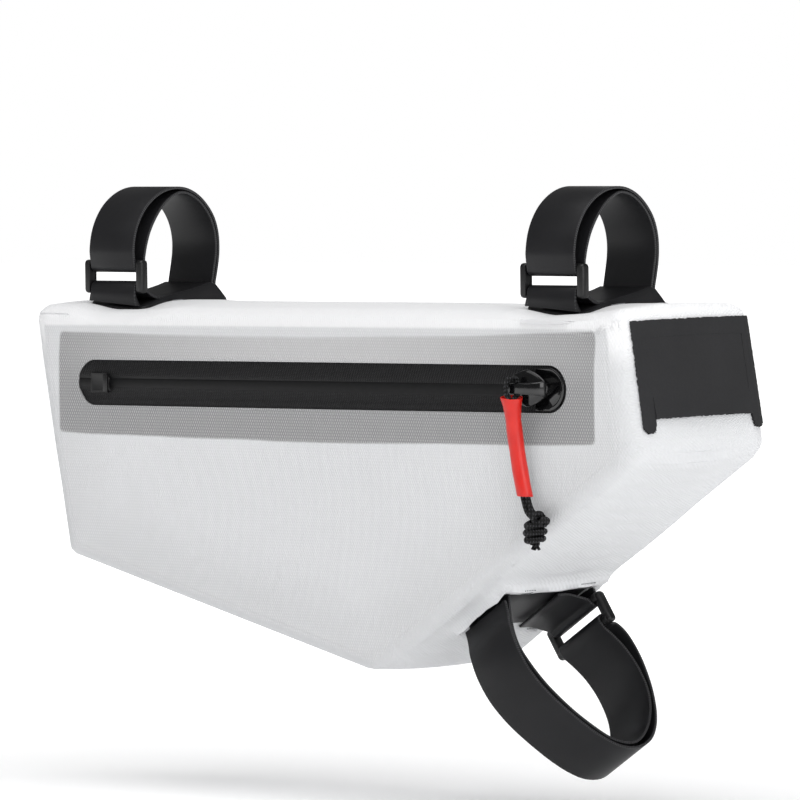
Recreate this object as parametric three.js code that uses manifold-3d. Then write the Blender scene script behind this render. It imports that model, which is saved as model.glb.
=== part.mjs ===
// A bicycle frame bag. A welded fabric hull hangs under the top tube on two strap loops, and a third
// loop goes round the down tube. A watertight zip runs along the near side, with a red sleeve on its pull
// cord, and a dark cover lies over the cable port in the front.
// Lengths are millimetres. +X points to the front of the bicycle, +Z up, and the zip faces -Y.
// The origin is the middle of the top tube's space, halfway between the two top straps.

import * as THREE from "three";
import { mergeVertices } from "three/addons/utils/BufferGeometryUtils.js";
import Module from "manifold-3d";

const wasm = await Module();
wasm.setup();

const GAP = 0.3; // between pieces that touch

// Hull
const HULL_LENGTH = 331.7;
const HULL_DEPTH = 150;
const HULL_WIDTH = 84;
const HULL_BEHIND_SHARE = 0.4664; // of the length that lies behind the origin
const HULL_BELOW = 18.6; // from the origin down to the hull's highest corner
const CORNER_ROUND = 10;
const EDGE_ROUND = 10;
const CROWN = 1.5; // how far each face of the gusset swells in its middle
const HULL_WALL = 1.2;

// Zip
const ZIP_FROM_REAR = 30.6; // from the hull's rear end to the zip's
const ZIP_FROM_FRONT = 36.9; // from the hull's front end to the zip's
const ZIP_HEIGHT = 18.8;
const ZIP_BELOW = 52.7; // of its middle below the origin
const ZIP_LINE_RISE = 2.2; // of the line where the two tapes meet above the middle
const ZIP_FLANGE = 4; // how far the tapes reach under the wall
const ZIP_FLANGE_THICK = 1.2;
const ZIP_SUNK = 0.7; // of the tapes' face below the hull's
const BACKING_PAST_REAR = 10.7; // past the zip's rear end
const BACKING_PAST_FRONT = 15.8; // past the zip's front end
const BACKING_HEIGHT = 44;
const BACKING_RISE = 0.2; // of its middle above the zip's
const BACKING_THICK = 1;
const BACKING_ROUND = 4;
const STOP_LENGTH = 9;
const STOP_HEIGHT = 8;
const STOP_THICK = 1;
const STOP_FROM_END = 8;
const GARAGE_LENGTH = 13;

// Slider and pull
const SLIDER_LENGTH = 23;
const SLIDER_HEIGHT = 13.8;
const SLIDER_BODY_THICK = 1.6;
const SLIDER_PLATE_THICK = 1.5;
const SLIDER_FROM_END = 17.1; // of its middle from the front end of the zip
const SLIDER_RISE = 1.3;
const BRIDGE_LENGTH = 18;
const BRIDGE_WIDTH = 4;
const BRIDGE_THICK = 1.5;
const CORD_BACK = 4.1; // from the bridge's middle back to the cord
const CORD_DIAMETER = 2.1;
const CORD_CLEAR = 0.4;
const SLEEVE_WALL = 0.5;
const SLEEVE_MOUTH = 1.4; // how far the sleeve's top flares on each side
const KNOT_RADIUS = 4.6;

// Straps
const STRAP_WIDTH = 25;
const STRAP_THICK = 1.1;
const STRAP_SPACING_SHARE = 0.7184; // of the hull's length, between the top straps
const TOP_LOOP_WIDTH = 52.2;
const TOP_LOOP_RISE = 26.6; // of the top loops above the origin
const TUBE_LOOP_WIDTH = 69;
const TUBE_LOOP_HEIGHT = 73;
const TUBE_LOOP_SHARE = 0.3; // of the way from the keel to the lower front corner
const TUBE_LOOP_ASIDE = 3.6; // of its middle towards the far side
const TUBE_RING_SHARE = 0.78; // of the loop's half width at which its ring stands
const TUBE_STAND_SHARE = 0.66; // of the loop's half width at which its far end stands
const TOP_STAND_SHARE = 0.95;
const BAR_RADIUS = 1.9;
const RING_BAR_SPACING = 10;
const RING_HEIGHT = 10.6; // of the ring's middle above the hull
const RING_SIDE = 2.75;
const RING_DEPTH = 6.5;
const RING_CLEAR = 0.75; // beside the strap
const FOOT_WIDTH = 31;
const FOOT_PAST = 5.5; // how far the feet reach past the ring and past the strap's far end

// Port cover
const COVER_WIDTH = 71.6;
const COVER_HEIGHT = 38.6;
const COVER_BELOW_TOP = 6.4; // from the front's upper corner down to the cover
const COVER_BAND = 6.4;
const COVER_LEG = 5.5; // how far the side bands reach below the flap
const COVER_THICK = 1;

const COLOUR = {
  hull: 0xe9eaec,
  backing: 0xa9abad,
  black: 0x232325,
  tape: 0x161617,
  gloss: 0x0c0c0d,
  cover: 0x3a3a3b,
  sleeve: 0xf03a2d,
};

// The hull's corners from the rear top one round by the front: their place as shares of the length and
// the depth, and their rounding as a share of CORNER_ROUND.
const CORNERS = [
  { corner: "rear_top", along: 0, down: 0.012, round: 0.7 },
  { corner: "front_top", along: 0.972, down: 0, round: 0.8 },
  { corner: "front_low", along: 1, down: 0.393, round: 1.2 },
  { corner: "keel", along: 0.583, down: 1, round: 1.2 },
  { corner: "rear_low", along: 0.057, down: 0.707, round: 0.7 },
];

// The face that follows each corner, and its edges' rounding as a share of EDGE_ROUND.
const FACES = [
  { face: "top", round: 1 },
  { face: "front", round: 1 },
  { face: "tube", round: 0.6 },
  { face: "base", round: 0.5 },
  { face: "rear", round: 0.8 },
];

const HALF_WIDTH = HULL_WIDTH / 2;
const REAR_END = -HULL_LENGTH * HULL_BEHIND_SHARE;
const FRONT_END = REAR_END + HULL_LENGTH;
const ARC_STEPS = 5;
const NEAR_FACE = -HALF_WIDTH;

function material(colour, roughness = 0.8, metalness = 0) {
  return new THREE.MeshStandardMaterial({ color: colour, roughness, metalness });
}

function named(name, geometry, look) {
  const mesh = new THREE.Mesh(geometry, look);
  mesh.name = name;
  return mesh;
}

// Solids for cutting and joining

function solid(geometry) {
  const bare = geometry.clone();
  bare.deleteAttribute("normal");
  bare.deleteAttribute("uv");
  const merged = mergeVertices(bare, 1e-4);
  return new wasm.Manifold(
    new wasm.Mesh({
      numProp: 3,
      vertProperties: merged.attributes.position.array,
      triVerts: new Uint32Array(merged.index.array),
    }),
  );
}

function fromSolid(body) {
  const mesh = body.getMesh();
  const geometry = new THREE.BufferGeometry();
  geometry.setAttribute("position", new THREE.BufferAttribute(mesh.vertProperties, 3));
  geometry.setIndex(new THREE.BufferAttribute(mesh.triVerts, 1));
  const flat = geometry.toNonIndexed();
  flat.computeVertexNormals();
  return flat;
}

function join(...geometries) {
  return fromSolid(geometries.map(solid).reduce((all, next) => all.add(next)));
}

function cut(geometry, ...cutters) {
  return fromSolid(cutters.map(solid).reduce((left, next) => left.subtract(next), solid(geometry)));
}

function keep(geometry, region) {
  return fromSolid(solid(geometry).intersect(solid(region)));
}

function box(from, to) {
  const size = to.map((value, i) => value - from[i]);
  const geometry = new THREE.BoxGeometry(...size);
  geometry.translate(...from.map((value, i) => value + size[i] / 2));
  return geometry;
}

// A plate from an outline in the side plane, between two places across the bag.
function sidePlate(outline, from, to, hole) {
  const shape = new THREE.Shape(outline);
  if (hole) shape.holes.push(new THREE.Path(hole));
  const geometry = new THREE.ExtrudeGeometry(shape, { depth: to - from, bevelEnabled: false });
  geometry.rotateX(Math.PI / 2);
  geometry.translate(0, to, 0);
  return geometry;
}

// A length of an outline in the plane across the bag, its middle at the origin along X.
function acrossBar(outline, width) {
  const geometry = new THREE.ExtrudeGeometry(new THREE.Shape(outline), { depth: width, bevelEnabled: false });
  geometry.translate(0, 0, -width / 2);
  const turn = new THREE.Matrix4().makeBasis(
    new THREE.Vector3(0, 1, 0),
    new THREE.Vector3(0, 0, 1),
    new THREE.Vector3(1, 0, 0),
  );
  return geometry.applyMatrix4(turn);
}

// A closed surface through rings of equally many points, with flat ends or joined from last to first.
function loft(rings, joined = false) {
  const count = rings[0].length;
  const last = joined ? rings.length : rings.length - 1;
  const corners = [];
  for (let r = 0; r < last; r++) {
    const a = rings[r];
    const b = rings[(r + 1) % rings.length];
    for (let i = 0; i < count; i++) {
      const j = (i + 1) % count;
      corners.push(a[i], a[j], b[j], a[i], b[j], b[i]);
    }
  }
  if (!joined) {
    for (let i = 1; i < count - 1; i++) {
      corners.push(rings[0][0], rings[0][i + 1], rings[0][i]);
      const end = rings[rings.length - 1];
      corners.push(end[0], end[i], end[i + 1]);
    }
  }
  const geometry = new THREE.BufferGeometry().setFromPoints(corners);
  geometry.computeVertexNormals();
  return geometry;
}

// A ribbon of the given thickness along points in a plane.
function ribbon(points, thickness) {
  const left = [];
  const right = [];
  points.forEach((point, i) => {
    const before = points[Math.max(i - 1, 0)];
    const after = points[Math.min(i + 1, points.length - 1)];
    const along = after.clone().sub(before).normalize();
    const out = new THREE.Vector2(-along.y, along.x).multiplyScalar(thickness / 2);
    left.push(point.clone().add(out));
    right.push(point.clone().sub(out));
  });
  return left.concat(right.reverse());
}

// Hull outline

const hullCorners = CORNERS.map(
  (row) => new THREE.Vector2(REAR_END + row.along * HULL_LENGTH, -HULL_BELOW - row.down * HULL_DEPTH),
);

const hullFaces = FACES.map((row, i) => {
  const start = hullCorners[i];
  const end = hullCorners[(i + 1) % hullCorners.length];
  const along = end.clone().sub(start).normalize();
  return { start, end, along, inward: new THREE.Vector2(along.y, -along.x), round: row.round * EDGE_ROUND };
});

const faceNamed = (name) => hullFaces[FACES.findIndex((row) => row.face === name)];

function crossing(a, b) {
  const apart = b.point.clone().sub(a.point);
  const reach = apart.cross(b.along) / a.along.cross(b.along);
  return a.point.clone().addScaledVector(a.along, reach);
}

// The outline moved inwards by its own distance on each face, with a place across the bag for each face.
function hullRing(inset, across) {
  const lines = hullFaces.map((face) => ({
    point: face.start.clone().addScaledVector(face.inward, inset(face)),
    along: face.along,
    inward: face.inward,
  }));
  const ring = [];
  lines.forEach((line, i) => {
    const k = (i + lines.length - 1) % lines.length;
    const before = lines[k];
    const corner = crossing(before, line);
    const shrink = (inset(hullFaces[k]) + inset(hullFaces[i])) / 2;
    const radius = Math.max(CORNERS[i].round * CORNER_ROUND - shrink, 1);
    const turn = Math.acos(before.along.dot(line.along));
    const centre = corner
      .clone()
      .addScaledVector(before.along, -radius * Math.tan(turn / 2))
      .addScaledVector(before.inward, radius);
    const first = Math.atan2(-before.inward.y, -before.inward.x);
    for (let s = 0; s <= ARC_STEPS; s++) {
      const share = s / ARC_STEPS;
      const angle = first - turn * share;
      const y = across(hullFaces[k]) * (1 - share) + across(hullFaces[i]) * share;
      ring.push(
        new THREE.Vector3(centre.x + radius * Math.cos(angle), y, centre.y + radius * Math.sin(angle)),
      );
    }
  });
  return ring;
}

const flatHalf = (face) => HALF_WIDTH - face.round;

// How far a face of the gusset lies below its highest line, at a place across the bag.
function faceDrop(face, y) {
  const flat = flatHalf(face);
  const past = Math.abs(y) - flat;
  if (past <= 0) return CROWN * (y / flat) ** 2;
  return CROWN + face.round - Math.sqrt(Math.max(face.round ** 2 - past ** 2, 0));
}

// One skin of the gusset, from its near edge to its far one, a wall's depth inside the outline.
function gussetSkin(depth) {
  const rings = [];
  const quarter = [0, 0.25, 0.5, 0.75, 1].map((share) => (share * Math.PI) / 2);
  const edge = (side, angle) =>
    hullRing(
      (face) => CROWN + face.round - (face.round - depth) * Math.sin(angle),
      (face) => side * (flatHalf(face) + (face.round - depth) * Math.cos(angle)),
    );
  quarter.forEach((angle) => rings.push(edge(-1, angle)));
  [-0.5, 0, 0.5].forEach((share) =>
    rings.push(
      hullRing(
        () => CROWN * share ** 2 + depth,
        (face) => share * flatHalf(face),
      ),
    ),
  );
  quarter.reverse().forEach((angle) => rings.push(edge(1, angle)));
  return rings;
}

function gusset() {
  return loft([...gussetSkin(0), ...gussetSkin(HULL_WALL).reverse()], true);
}

const panelOutline = (clear) =>
  hullRing(
    (face) => CROWN + face.round + clear,
    () => 0,
  ).map((point) => new THREE.Vector2(point.x, point.z));

// Zip outlines

const zipRear = REAR_END + ZIP_FROM_REAR;
const zipFront = FRONT_END - ZIP_FROM_FRONT;
const zipLength = zipFront - zipRear;
const zipMiddle = new THREE.Vector2((zipRear + zipFront) / 2, -ZIP_BELOW);
const zipLine = zipMiddle.y + ZIP_LINE_RISE;

function roundedBox(middle, length, height, round) {
  const shape = new THREE.Shape();
  const [x, y] = [length / 2, height / 2];
  shape.absarc(middle.x + x - round, middle.y - y + round, round, -Math.PI / 2, 0);
  shape.absarc(middle.x + x - round, middle.y + y - round, round, 0, Math.PI / 2);
  shape.absarc(middle.x - x + round, middle.y + y - round, round, Math.PI / 2, Math.PI);
  shape.absarc(middle.x - x + round, middle.y - y + round, round, Math.PI, 1.5 * Math.PI);
  return shape.getPoints(6).filter((point, i, all) => i === 0 || point.distanceTo(all[i - 1]) > 1e-3);
}

const zipOutline = (grow) =>
  roundedBox(zipMiddle, zipLength + 2 * grow, ZIP_HEIGHT + 2 * grow, ZIP_HEIGHT / 2 + grow - 0.01);

const backingFront = NEAR_FACE + HULL_WALL + GAP;
const flangeFront = backingFront + BACKING_THICK + GAP;
const padFront = NEAR_FACE + ZIP_SUNK;

function sidePanels(group) {
  const near = sidePlate(panelOutline(GAP), NEAR_FACE, NEAR_FACE + HULL_WALL, zipOutline(0));
  const far = sidePlate(panelOutline(GAP), HALF_WIDTH - HULL_WALL, HALF_WIDTH);
  group.add(named("side_panel_near", near, material(COLOUR.hull, 0.55)));
  group.add(named("side_panel_far", far, material(COLOUR.hull, 0.55)));
  group.add(named("gusset", gusset(), material(COLOUR.hull, 0.55)));
}

function zip(group) {
  const backingLength = BACKING_PAST_REAR + zipLength + BACKING_PAST_FRONT;
  const backingMiddle = new THREE.Vector2(
    zipRear - BACKING_PAST_REAR + backingLength / 2,
    zipMiddle.y + BACKING_RISE,
  );
  const backing = sidePlate(
    roundedBox(backingMiddle, backingLength, BACKING_HEIGHT, BACKING_ROUND),
    backingFront,
    backingFront + BACKING_THICK,
    zipOutline(0),
  );
  const inside = sidePlate(panelOutline(GAP), NEAR_FACE, 0);
  group.add(named("zip_backing", keep(backing, inside), material(COLOUR.backing)));

  const flangeBack = flangeFront + ZIP_FLANGE_THICK;
  const tapes = join(
    sidePlate(zipOutline(-GAP), padFront, flangeBack),
    sidePlate(zipOutline(ZIP_FLANGE), flangeFront, flangeBack),
  );
  const reach = [zipLength, HALF_WIDTH, ZIP_HEIGHT + ZIP_FLANGE];
  const above = box(
    [zipMiddle.x - reach[0], -2 * reach[1], zipLine + GAP / 2],
    [zipMiddle.x + reach[0], 0, zipLine + reach[2]],
  );
  const below = box(
    [zipMiddle.x - reach[0], -2 * reach[1], zipLine - reach[2]],
    [zipMiddle.x + reach[0], 0, zipLine - GAP / 2],
  );
  group.add(named("zip_tape_upper", keep(tapes, above), material(COLOUR.tape, 0.6)));
  group.add(named("zip_tape_lower", keep(tapes, below), material(COLOUR.tape, 0.6)));

  const trimBack = padFront - GAP;
  const stopMiddle = new THREE.Vector2(zipRear + STOP_FROM_END + STOP_LENGTH / 2, zipLine - ZIP_LINE_RISE / 2);
  const stop = sidePlate(
    roundedBox(stopMiddle, STOP_LENGTH, STOP_HEIGHT, 1),
    trimBack - STOP_THICK,
    trimBack,
  );
  group.add(named("zip_end_stop", stop, material(COLOUR.gloss, 0.4)));

  const cap = sidePlate(zipOutline(-2 * GAP), trimBack - STOP_THICK, trimBack);
  const capStart = zipFront - GARAGE_LENGTH;
  const end = box([capStart, -2 * HALF_WIDTH, zipMiddle.y - ZIP_HEIGHT], [zipFront, 0, zipMiddle.y + ZIP_HEIGHT]);
  const dock = new THREE.CylinderGeometry(ZIP_HEIGHT / 3, ZIP_HEIGHT / 3, HALF_WIDTH, 16);
  dock.translate(capStart, NEAR_FACE, zipMiddle.y + SLIDER_RISE);
  group.add(named("zip_garage", cut(keep(cap, end), dock), material(COLOUR.gloss, 0.25)));
}

// Slider and pull cord

const sliderMiddle = new THREE.Vector2(zipFront - SLIDER_FROM_END, zipMiddle.y + SLIDER_RISE);
const bodyBack = padFront - GAP - STOP_THICK - GAP;
const bodyFront = bodyBack - SLIDER_BODY_THICK;
const plateFront = bodyFront - SLIDER_PLATE_THICK;
const bridgeBack = plateFront - CORD_DIAMETER - 2 * CORD_CLEAR;
const bridgeFront = bridgeBack - BRIDGE_THICK;

function slider() {
  const body = sidePlate(
    roundedBox(sliderMiddle, SLIDER_LENGTH * 0.8, SLIDER_HEIGHT * 0.75, SLIDER_HEIGHT / 4),
    bodyFront,
    bodyBack,
  );
  const foot = sidePlate(
    roundedBox(sliderMiddle, SLIDER_LENGTH * 0.3, SLIDER_HEIGHT * 0.3, 1),
    bodyBack - SLIDER_BODY_THICK / 2,
    padFront - GAP,
  );
  const plate = sidePlate(
    roundedBox(sliderMiddle, SLIDER_LENGTH, SLIDER_HEIGHT, SLIDER_HEIGHT * 0.45),
    plateFront,
    bodyFront,
  );
  const [x, z] = [sliderMiddle.x, sliderMiddle.y];
  const half = BRIDGE_LENGTH / 2;
  const bridge = box([x - half, bridgeFront, z - BRIDGE_WIDTH / 2], [x + half, plateFront, z + BRIDGE_WIDTH / 2]);
  const opening = box(
    [x - half + BRIDGE_THICK, bridgeBack, z - BRIDGE_WIDTH],
    [x + half - 2 * BRIDGE_THICK, plateFront, z + BRIDGE_WIDTH],
  );
  return join(body, foot, plate, cut(bridge, opening));
}

// The pull's line down from the slider, as chosen points: how far forward of the slider's middle, how
// far out from the hull's face, and how far below the slider's middle.
const PULL_LINE = [
  { ahead: -4.1, out: 8.2, below: 4.2 },
  { ahead: -4.6, out: 6, below: 16 },
  { ahead: -3.4, out: 4.9, below: 29 },
  { ahead: -0.8, out: 4.9, below: 41 },
  { ahead: 2.1, out: 5.3, below: 48 },
];
const SLEEVE_SHARE = 0.86; // of the line, from its top

const pullCurve = new THREE.CatmullRomCurve3(
  PULL_LINE.map(
    (row) => new THREE.Vector3(sliderMiddle.x + row.ahead, NEAR_FACE - row.out, sliderMiddle.y - row.below),
  ),
);

const sideOf = (share) => {
  const along = pullCurve.getTangentAt(share);
  return new THREE.Vector3(0, -1, 0).cross(along).normalize();
};
const strandApart = (CORD_DIAMETER + GAP) / 2;

// One strand: from the top of its turn round the bridge, past the bridge and down to the knot.
function strandPoints(side, passY) {
  const [x, z] = [sliderMiddle.x - CORD_BACK, sliderMiddle.y];
  const top = z + BRIDGE_WIDTH / 2 + 2 * CORD_CLEAR + CORD_DIAMETER / 2;
  const middle = new THREE.Vector3(x, (bridgeFront + bridgeBack) / 2, top);
  const pass = new THREE.Vector3(x + side * strandApart, passY, z + BRIDGE_WIDTH / 4);
  const away = new THREE.Vector3(pass.x, pass.y, top).sub(middle);
  const own = (share) => pullCurve.getPointAt(share).addScaledVector(sideOf(share), side * strandApart);
  const start = own(0.04);
  return [
    middle.clone().addScaledVector(away, GAP / away.length() / 2),
    middle.clone().addScaledVector(away, 0.6),
    pass,
    new THREE.Vector3(start.x, passY, z - BRIDGE_WIDTH / 2),
    start,
    own(0.3),
    own(0.6),
    own(0.9),
    own(1),
  ];
}

function tube(curve, radius, sides, steps) {
  const section = [];
  for (let i = 0; i < sides; i++) {
    const angle = (2 * Math.PI * i) / sides;
    section.push(new THREE.Vector2(radius * Math.cos(angle), radius * Math.sin(angle)));
  }
  return new THREE.ExtrudeGeometry(new THREE.Shape(section), { steps, extrudePath: curve, bevelEnabled: false });
}

function sleeve() {
  const bore = CORD_DIAMETER + CORD_CLEAR;
  const rings = (radius) =>
    [0, 0.06, 0.14, 0.3, 0.5, 0.7, 0.85, 1].map((share) => {
      const place = share * SLEEVE_SHARE;
      const middle = pullCurve.getPointAt(place);
      const side = sideOf(place);
      const out = side.clone().cross(pullCurve.getTangentAt(place));
      const flare = SLEEVE_MOUTH * Math.max(0, 1 - share / 0.2) ** 2;
      const ring = [];
      for (let i = 0; i < 14; i++) {
        const angle = (2 * Math.PI * i) / 14;
        ring.push(
          middle
            .clone()
            .addScaledVector(side, (radius + flare) * Math.cos(angle))
            .addScaledVector(out, (radius + flare * 0.6) * Math.sin(angle)),
        );
      }
      return ring;
    });
  return loft([...rings(bore), ...rings(bore + SLEEVE_WALL).reverse()], true);
}

// The knot: a stretched ball and the two turns of cord that stand out from it.
const KNOT_TURNS = [
  { ahead: 0.75, above: 0.95, out: 0.1, size: 0.5 },
  { ahead: 1.15, above: 0.35, out: -0.1, size: 0.48 },
];

function knot() {
  const end = pullCurve.getPointAt(1);
  const along = pullCurve.getTangentAt(1);
  const middle = end.clone().addScaledVector(along, KNOT_RADIUS * 1.2 + GAP);
  const ball = new THREE.SphereGeometry(KNOT_RADIUS, 12, 8);
  ball.scale(1, 1, 1.2);
  ball.translate(middle.x, middle.y, middle.z);
  const turns = KNOT_TURNS.map((row) => {
    const turn = new THREE.SphereGeometry(KNOT_RADIUS * row.size, 10, 6);
    turn.translate(
      middle.x + KNOT_RADIUS * row.ahead,
      middle.y - KNOT_RADIUS * row.out,
      middle.z + KNOT_RADIUS * row.above,
    );
    return turn;
  });
  return join(ball, ...turns);
}

function pull(group) {
  group.add(named("zip_slider", slider(), material(COLOUR.gloss, 0.3)));
  const behind = plateFront - CORD_CLEAR - CORD_DIAMETER / 2;
  const before = bridgeFront - CORD_CLEAR - CORD_DIAMETER / 2;
  const strands = [
    { name: "pull_cord_rear", side: -1, passY: before },
    { name: "pull_cord_front", side: 1, passY: behind },
  ];
  for (const row of strands) {
    const curve = new THREE.CatmullRomCurve3(strandPoints(row.side, row.passY));
    group.add(named(row.name, tube(curve, CORD_DIAMETER / 2, 8, 24), material(COLOUR.black)));
  }
  group.add(named("pull_sleeve", sleeve(), material(COLOUR.sleeve, 0.4)));
  group.add(named("pull_knot", knot(), material(COLOUR.black)));
}

// Straps. Each is built standing on a face: its width along X, its loop across Y, and Z away from the face.

// Half a turn round a bar, from its inner side to its outer one: under it with turn -1, over it with 1.
function halfTurn(middle, radius, turn, steps = 6) {
  const points = [];
  for (let i = 0; i <= steps; i++) {
    const angle = (turn * Math.PI * i) / steps;
    points.push(new THREE.Vector2(middle.x + radius * Math.cos(angle), middle.y + radius * Math.sin(angle)));
  }
  return points;
}

const wrapRadius = BAR_RADIUS + GAP + STRAP_THICK / 2;
const layerStep = STRAP_THICK + GAP;

// The strap's path: up from its far foot as the inner layer, over, round the ring's upper bar, and back
// over itself as the outer layer, to its free end on the far side.
function strapPath(loopWidth, height, bar, stand, aside) {
  const half = loopWidth / 2 - STRAP_THICK / 2;
  const widest = height * 0.46;
  const rise = height - STRAP_THICK / 2 - widest;
  const open = 2 * wrapRadius - layerStep;
  const layer = (angle, inside) =>
    new THREE.Vector2((half - inside) * Math.cos(angle) - aside, widest + (rise - inside) * Math.sin(angle));
  const spread = (share) => layerStep + open * THREE.MathUtils.smoothstep(share, 0.15, 0.65);
  const shares = Array.from({ length: 17 }, (_, i) => i / 16);
  const footTop = 2 * STRAP_THICK + 2 * GAP;
  const foot = [
    new THREE.Vector2((half - layerStep) * stand - aside, footTop),
    new THREE.Vector2((half - layerStep) * (1 + 2 * stand) / 3 - aside, footTop + (widest - footTop) * 0.35),
    new THREE.Vector2((half - layerStep) * (5 + stand) / 6 - aside, footTop + (widest - footTop) * 0.7),
  ];
  const inner = shares.map((share) => layer(Math.PI * share, spread(share)));
  const outer = shares.map((share) => layer(Math.PI * share, 0)).slice(1);
  outer.unshift(new THREE.Vector2(half * 0.998 - aside, widest - height * 0.07));
  return [...foot, ...inner, ...halfTurn(bar, wrapRadius, -1), ...outer.reverse()];
}

// The anchor's path: along the face from its far end, up and over the ring's lower bar, down to its near end.
function anchorPath(lie, bar, farEnd, nearEnd) {
  const flat = [farEnd, farEnd * 0.7, farEnd * 0.3, 0, bar.x * 0.35].map(lie);
  const over = halfTurn(bar, wrapRadius, 1);
  return [...flat, lie(bar.x * 0.6), ...over, lie(nearEnd + STRAP_THICK)];
}

function ring(bars) {
  const inside = STRAP_WIDTH + 2 * RING_CLEAR;
  const pieces = bars.map((bar) => {
    const rod = new THREE.CylinderGeometry(BAR_RADIUS, BAR_RADIUS, inside + RING_SIDE, 12);
    rod.rotateZ(Math.PI / 2);
    rod.translate(0, bar.x, bar.y);
    return rod;
  });
  const [upper, lower] = bars;
  const low = lower.y - BAR_RADIUS;
  const high = upper.y + BAR_RADIUS;
  const back = upper.x + BAR_RADIUS;
  const front = back - RING_DEPTH;
  const bevel = RING_DEPTH * 0.4;
  const outline = [
    [back, low + bevel / 2],
    [back, high - bevel / 2],
    [back - bevel / 2, high],
    [front + bevel, high],
    [front, high - bevel],
    [front, low + bevel],
    [front + bevel, low],
    [back - bevel / 2, low],
  ].map(([y, z]) => new THREE.Vector2(y, z));
  for (const side of [-1, 1]) {
    const plate = acrossBar(outline, RING_SIDE);
    plate.translate((side * (inside + RING_SIDE)) / 2, 0, 0);
    pieces.push(plate);
  }
  return join(...pieces);
}

function foot(lie, farEnd, nearEnd) {
  const shares = [1, 0.75, 0.5, 0.25];
  const path = [...shares.map((share) => lie(share * farEnd)), lie(0)];
  path.push(...shares.reverse().map((share) => lie(share * nearEnd)));
  return acrossBar(ribbon(path, STRAP_THICK), FOOT_WIDTH);
}

function strapSet(name, face, loopWidth, height, ringShare, stand, aside = 0) {
  const set = new THREE.Group();
  const half = loopWidth / 2 - STRAP_THICK / 2;
  const barY = -(half - wrapRadius) * ringShare - aside;
  const lie = (y) => new THREE.Vector2(y, GAP + STRAP_THICK / 2 - faceDrop(face, y));
  const nearEnd = barY - FOOT_PAST;
  const farEnd = half * stand + FOOT_PAST - aside;
  const upper = new THREE.Vector2(barY, RING_HEIGHT + RING_BAR_SPACING / 2);
  const lower = new THREE.Vector2(barY, RING_HEIGHT - RING_BAR_SPACING / 2);
  const strap = acrossBar(
    ribbon(strapPath(loopWidth, height, upper, stand, aside), STRAP_THICK),
    STRAP_WIDTH,
  );
  const wrap = acrossBar(ribbon(anchorPath(lie, lower, farEnd, nearEnd), STRAP_THICK), STRAP_WIDTH);
  const anchor = join(wrap, foot(lie, farEnd, nearEnd));
  set.add(named(name + "_strap", strap, material(COLOUR.black)));
  set.add(named(name + "_anchor", anchor, material(COLOUR.black)));
  set.add(named(name + "_ring", ring([upper, lower]), material(COLOUR.black, 0.5)));
  return set;
}

function straps(group) {
  const top = faceNamed("top");
  const apart = HULL_LENGTH * STRAP_SPACING_SHARE;
  const places = [
    { name: "rear", x: -apart / 2 },
    { name: "front", x: apart / 2 },
  ];
  for (const place of places) {
    const share = (place.x - top.start.x) / (top.end.x - top.start.x);
    const ground = THREE.MathUtils.lerp(top.start.y, top.end.y, share);
    const set = strapSet(place.name, top, TOP_LOOP_WIDTH, TOP_LOOP_RISE - ground, 1, TOP_STAND_SHARE);
    set.rotation.y = -Math.atan2(top.along.y, top.along.x);
    set.position.set(place.x, 0, ground);
    group.add(set);
  }
  const tubeFace = faceNamed("tube");
  const set = strapSet(
    "tube",
    tubeFace,
    TUBE_LOOP_WIDTH,
    TUBE_LOOP_HEIGHT,
    TUBE_RING_SHARE,
    TUBE_STAND_SHARE,
    TUBE_LOOP_ASIDE,
  );
  const spot = tubeFace.end.clone().lerp(tubeFace.start, TUBE_LOOP_SHARE);
  const along = new THREE.Vector3(-tubeFace.along.x, 0, -tubeFace.along.y);
  const away = new THREE.Vector3(-tubeFace.inward.x, 0, -tubeFace.inward.y);
  const turn = new THREE.Matrix4().makeBasis(along, new THREE.Vector3(0, -1, 0), away);
  set.setRotationFromMatrix(turn);
  set.position.set(spot.x, 0, spot.y);
  group.add(set);
}

// The cover of the cable port, built standing on the front face: X up along the face, Z away from it.
function portCover(group) {
  const face = faceNamed("front");
  const set = new THREE.Group();
  const sheet = (lift, half) => {
    const ends = [-1, -0.93, -0.85, -0.6, -0.3, 0, 0.3, 0.6, 0.85, 0.93, 1].map((share) => share * half);
    const path = ends.map((y) => new THREE.Vector2(y, lift + COVER_THICK / 2 - faceDrop(face, y)));
    const geometry = acrossBar(ribbon(path, COVER_THICK), COVER_HEIGHT + COVER_LEG);
    geometry.translate(-(COVER_HEIGHT + COVER_LEG) / 2, 0, 0);
    return geometry;
  };
  const half = COVER_WIDTH / 2;
  const inner = half - COVER_BAND;
  const deep = 2 * EDGE_ROUND;
  const hole = box([-COVER_HEIGHT - 2 * COVER_LEG, -inner, -deep], [-COVER_BAND, inner, deep]);
  const frame = cut(sheet(GAP, half), hole);
  const flap = keep(
    sheet(GAP, inner - GAP),
    box([-COVER_HEIGHT, -half, -deep], [-COVER_BAND - GAP, half, deep]),
  );
  set.add(named("port_frame", frame, material(COLOUR.cover)));
  set.add(named("port_flap", flap, material(COLOUR.cover)));
  const spot = face.start.clone().addScaledVector(face.along, COVER_BELOW_TOP);
  const up = new THREE.Vector3(-face.along.x, 0, -face.along.y);
  const away = new THREE.Vector3(-face.inward.x, 0, -face.inward.y);
  set.setRotationFromMatrix(new THREE.Matrix4().makeBasis(up, new THREE.Vector3().crossVectors(away, up), away));
  set.position.set(spot.x, 0, spot.y);
  group.add(set);
}

const bag = new THREE.Group();
sidePanels(bag);
zip(bag);
pull(bag);
straps(bag);
portCover(bag);

export default bag;
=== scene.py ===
"""A bicycle frame bag: the looks of its pieces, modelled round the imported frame.

Lengths are millimetres in the tables and metres in Blender. +X points to the front of the bicycle,
+Z up, and the zip faces -Y.
"""

import math
import random

import bmesh
import bpy
from mathutils import Matrix, Vector


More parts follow.
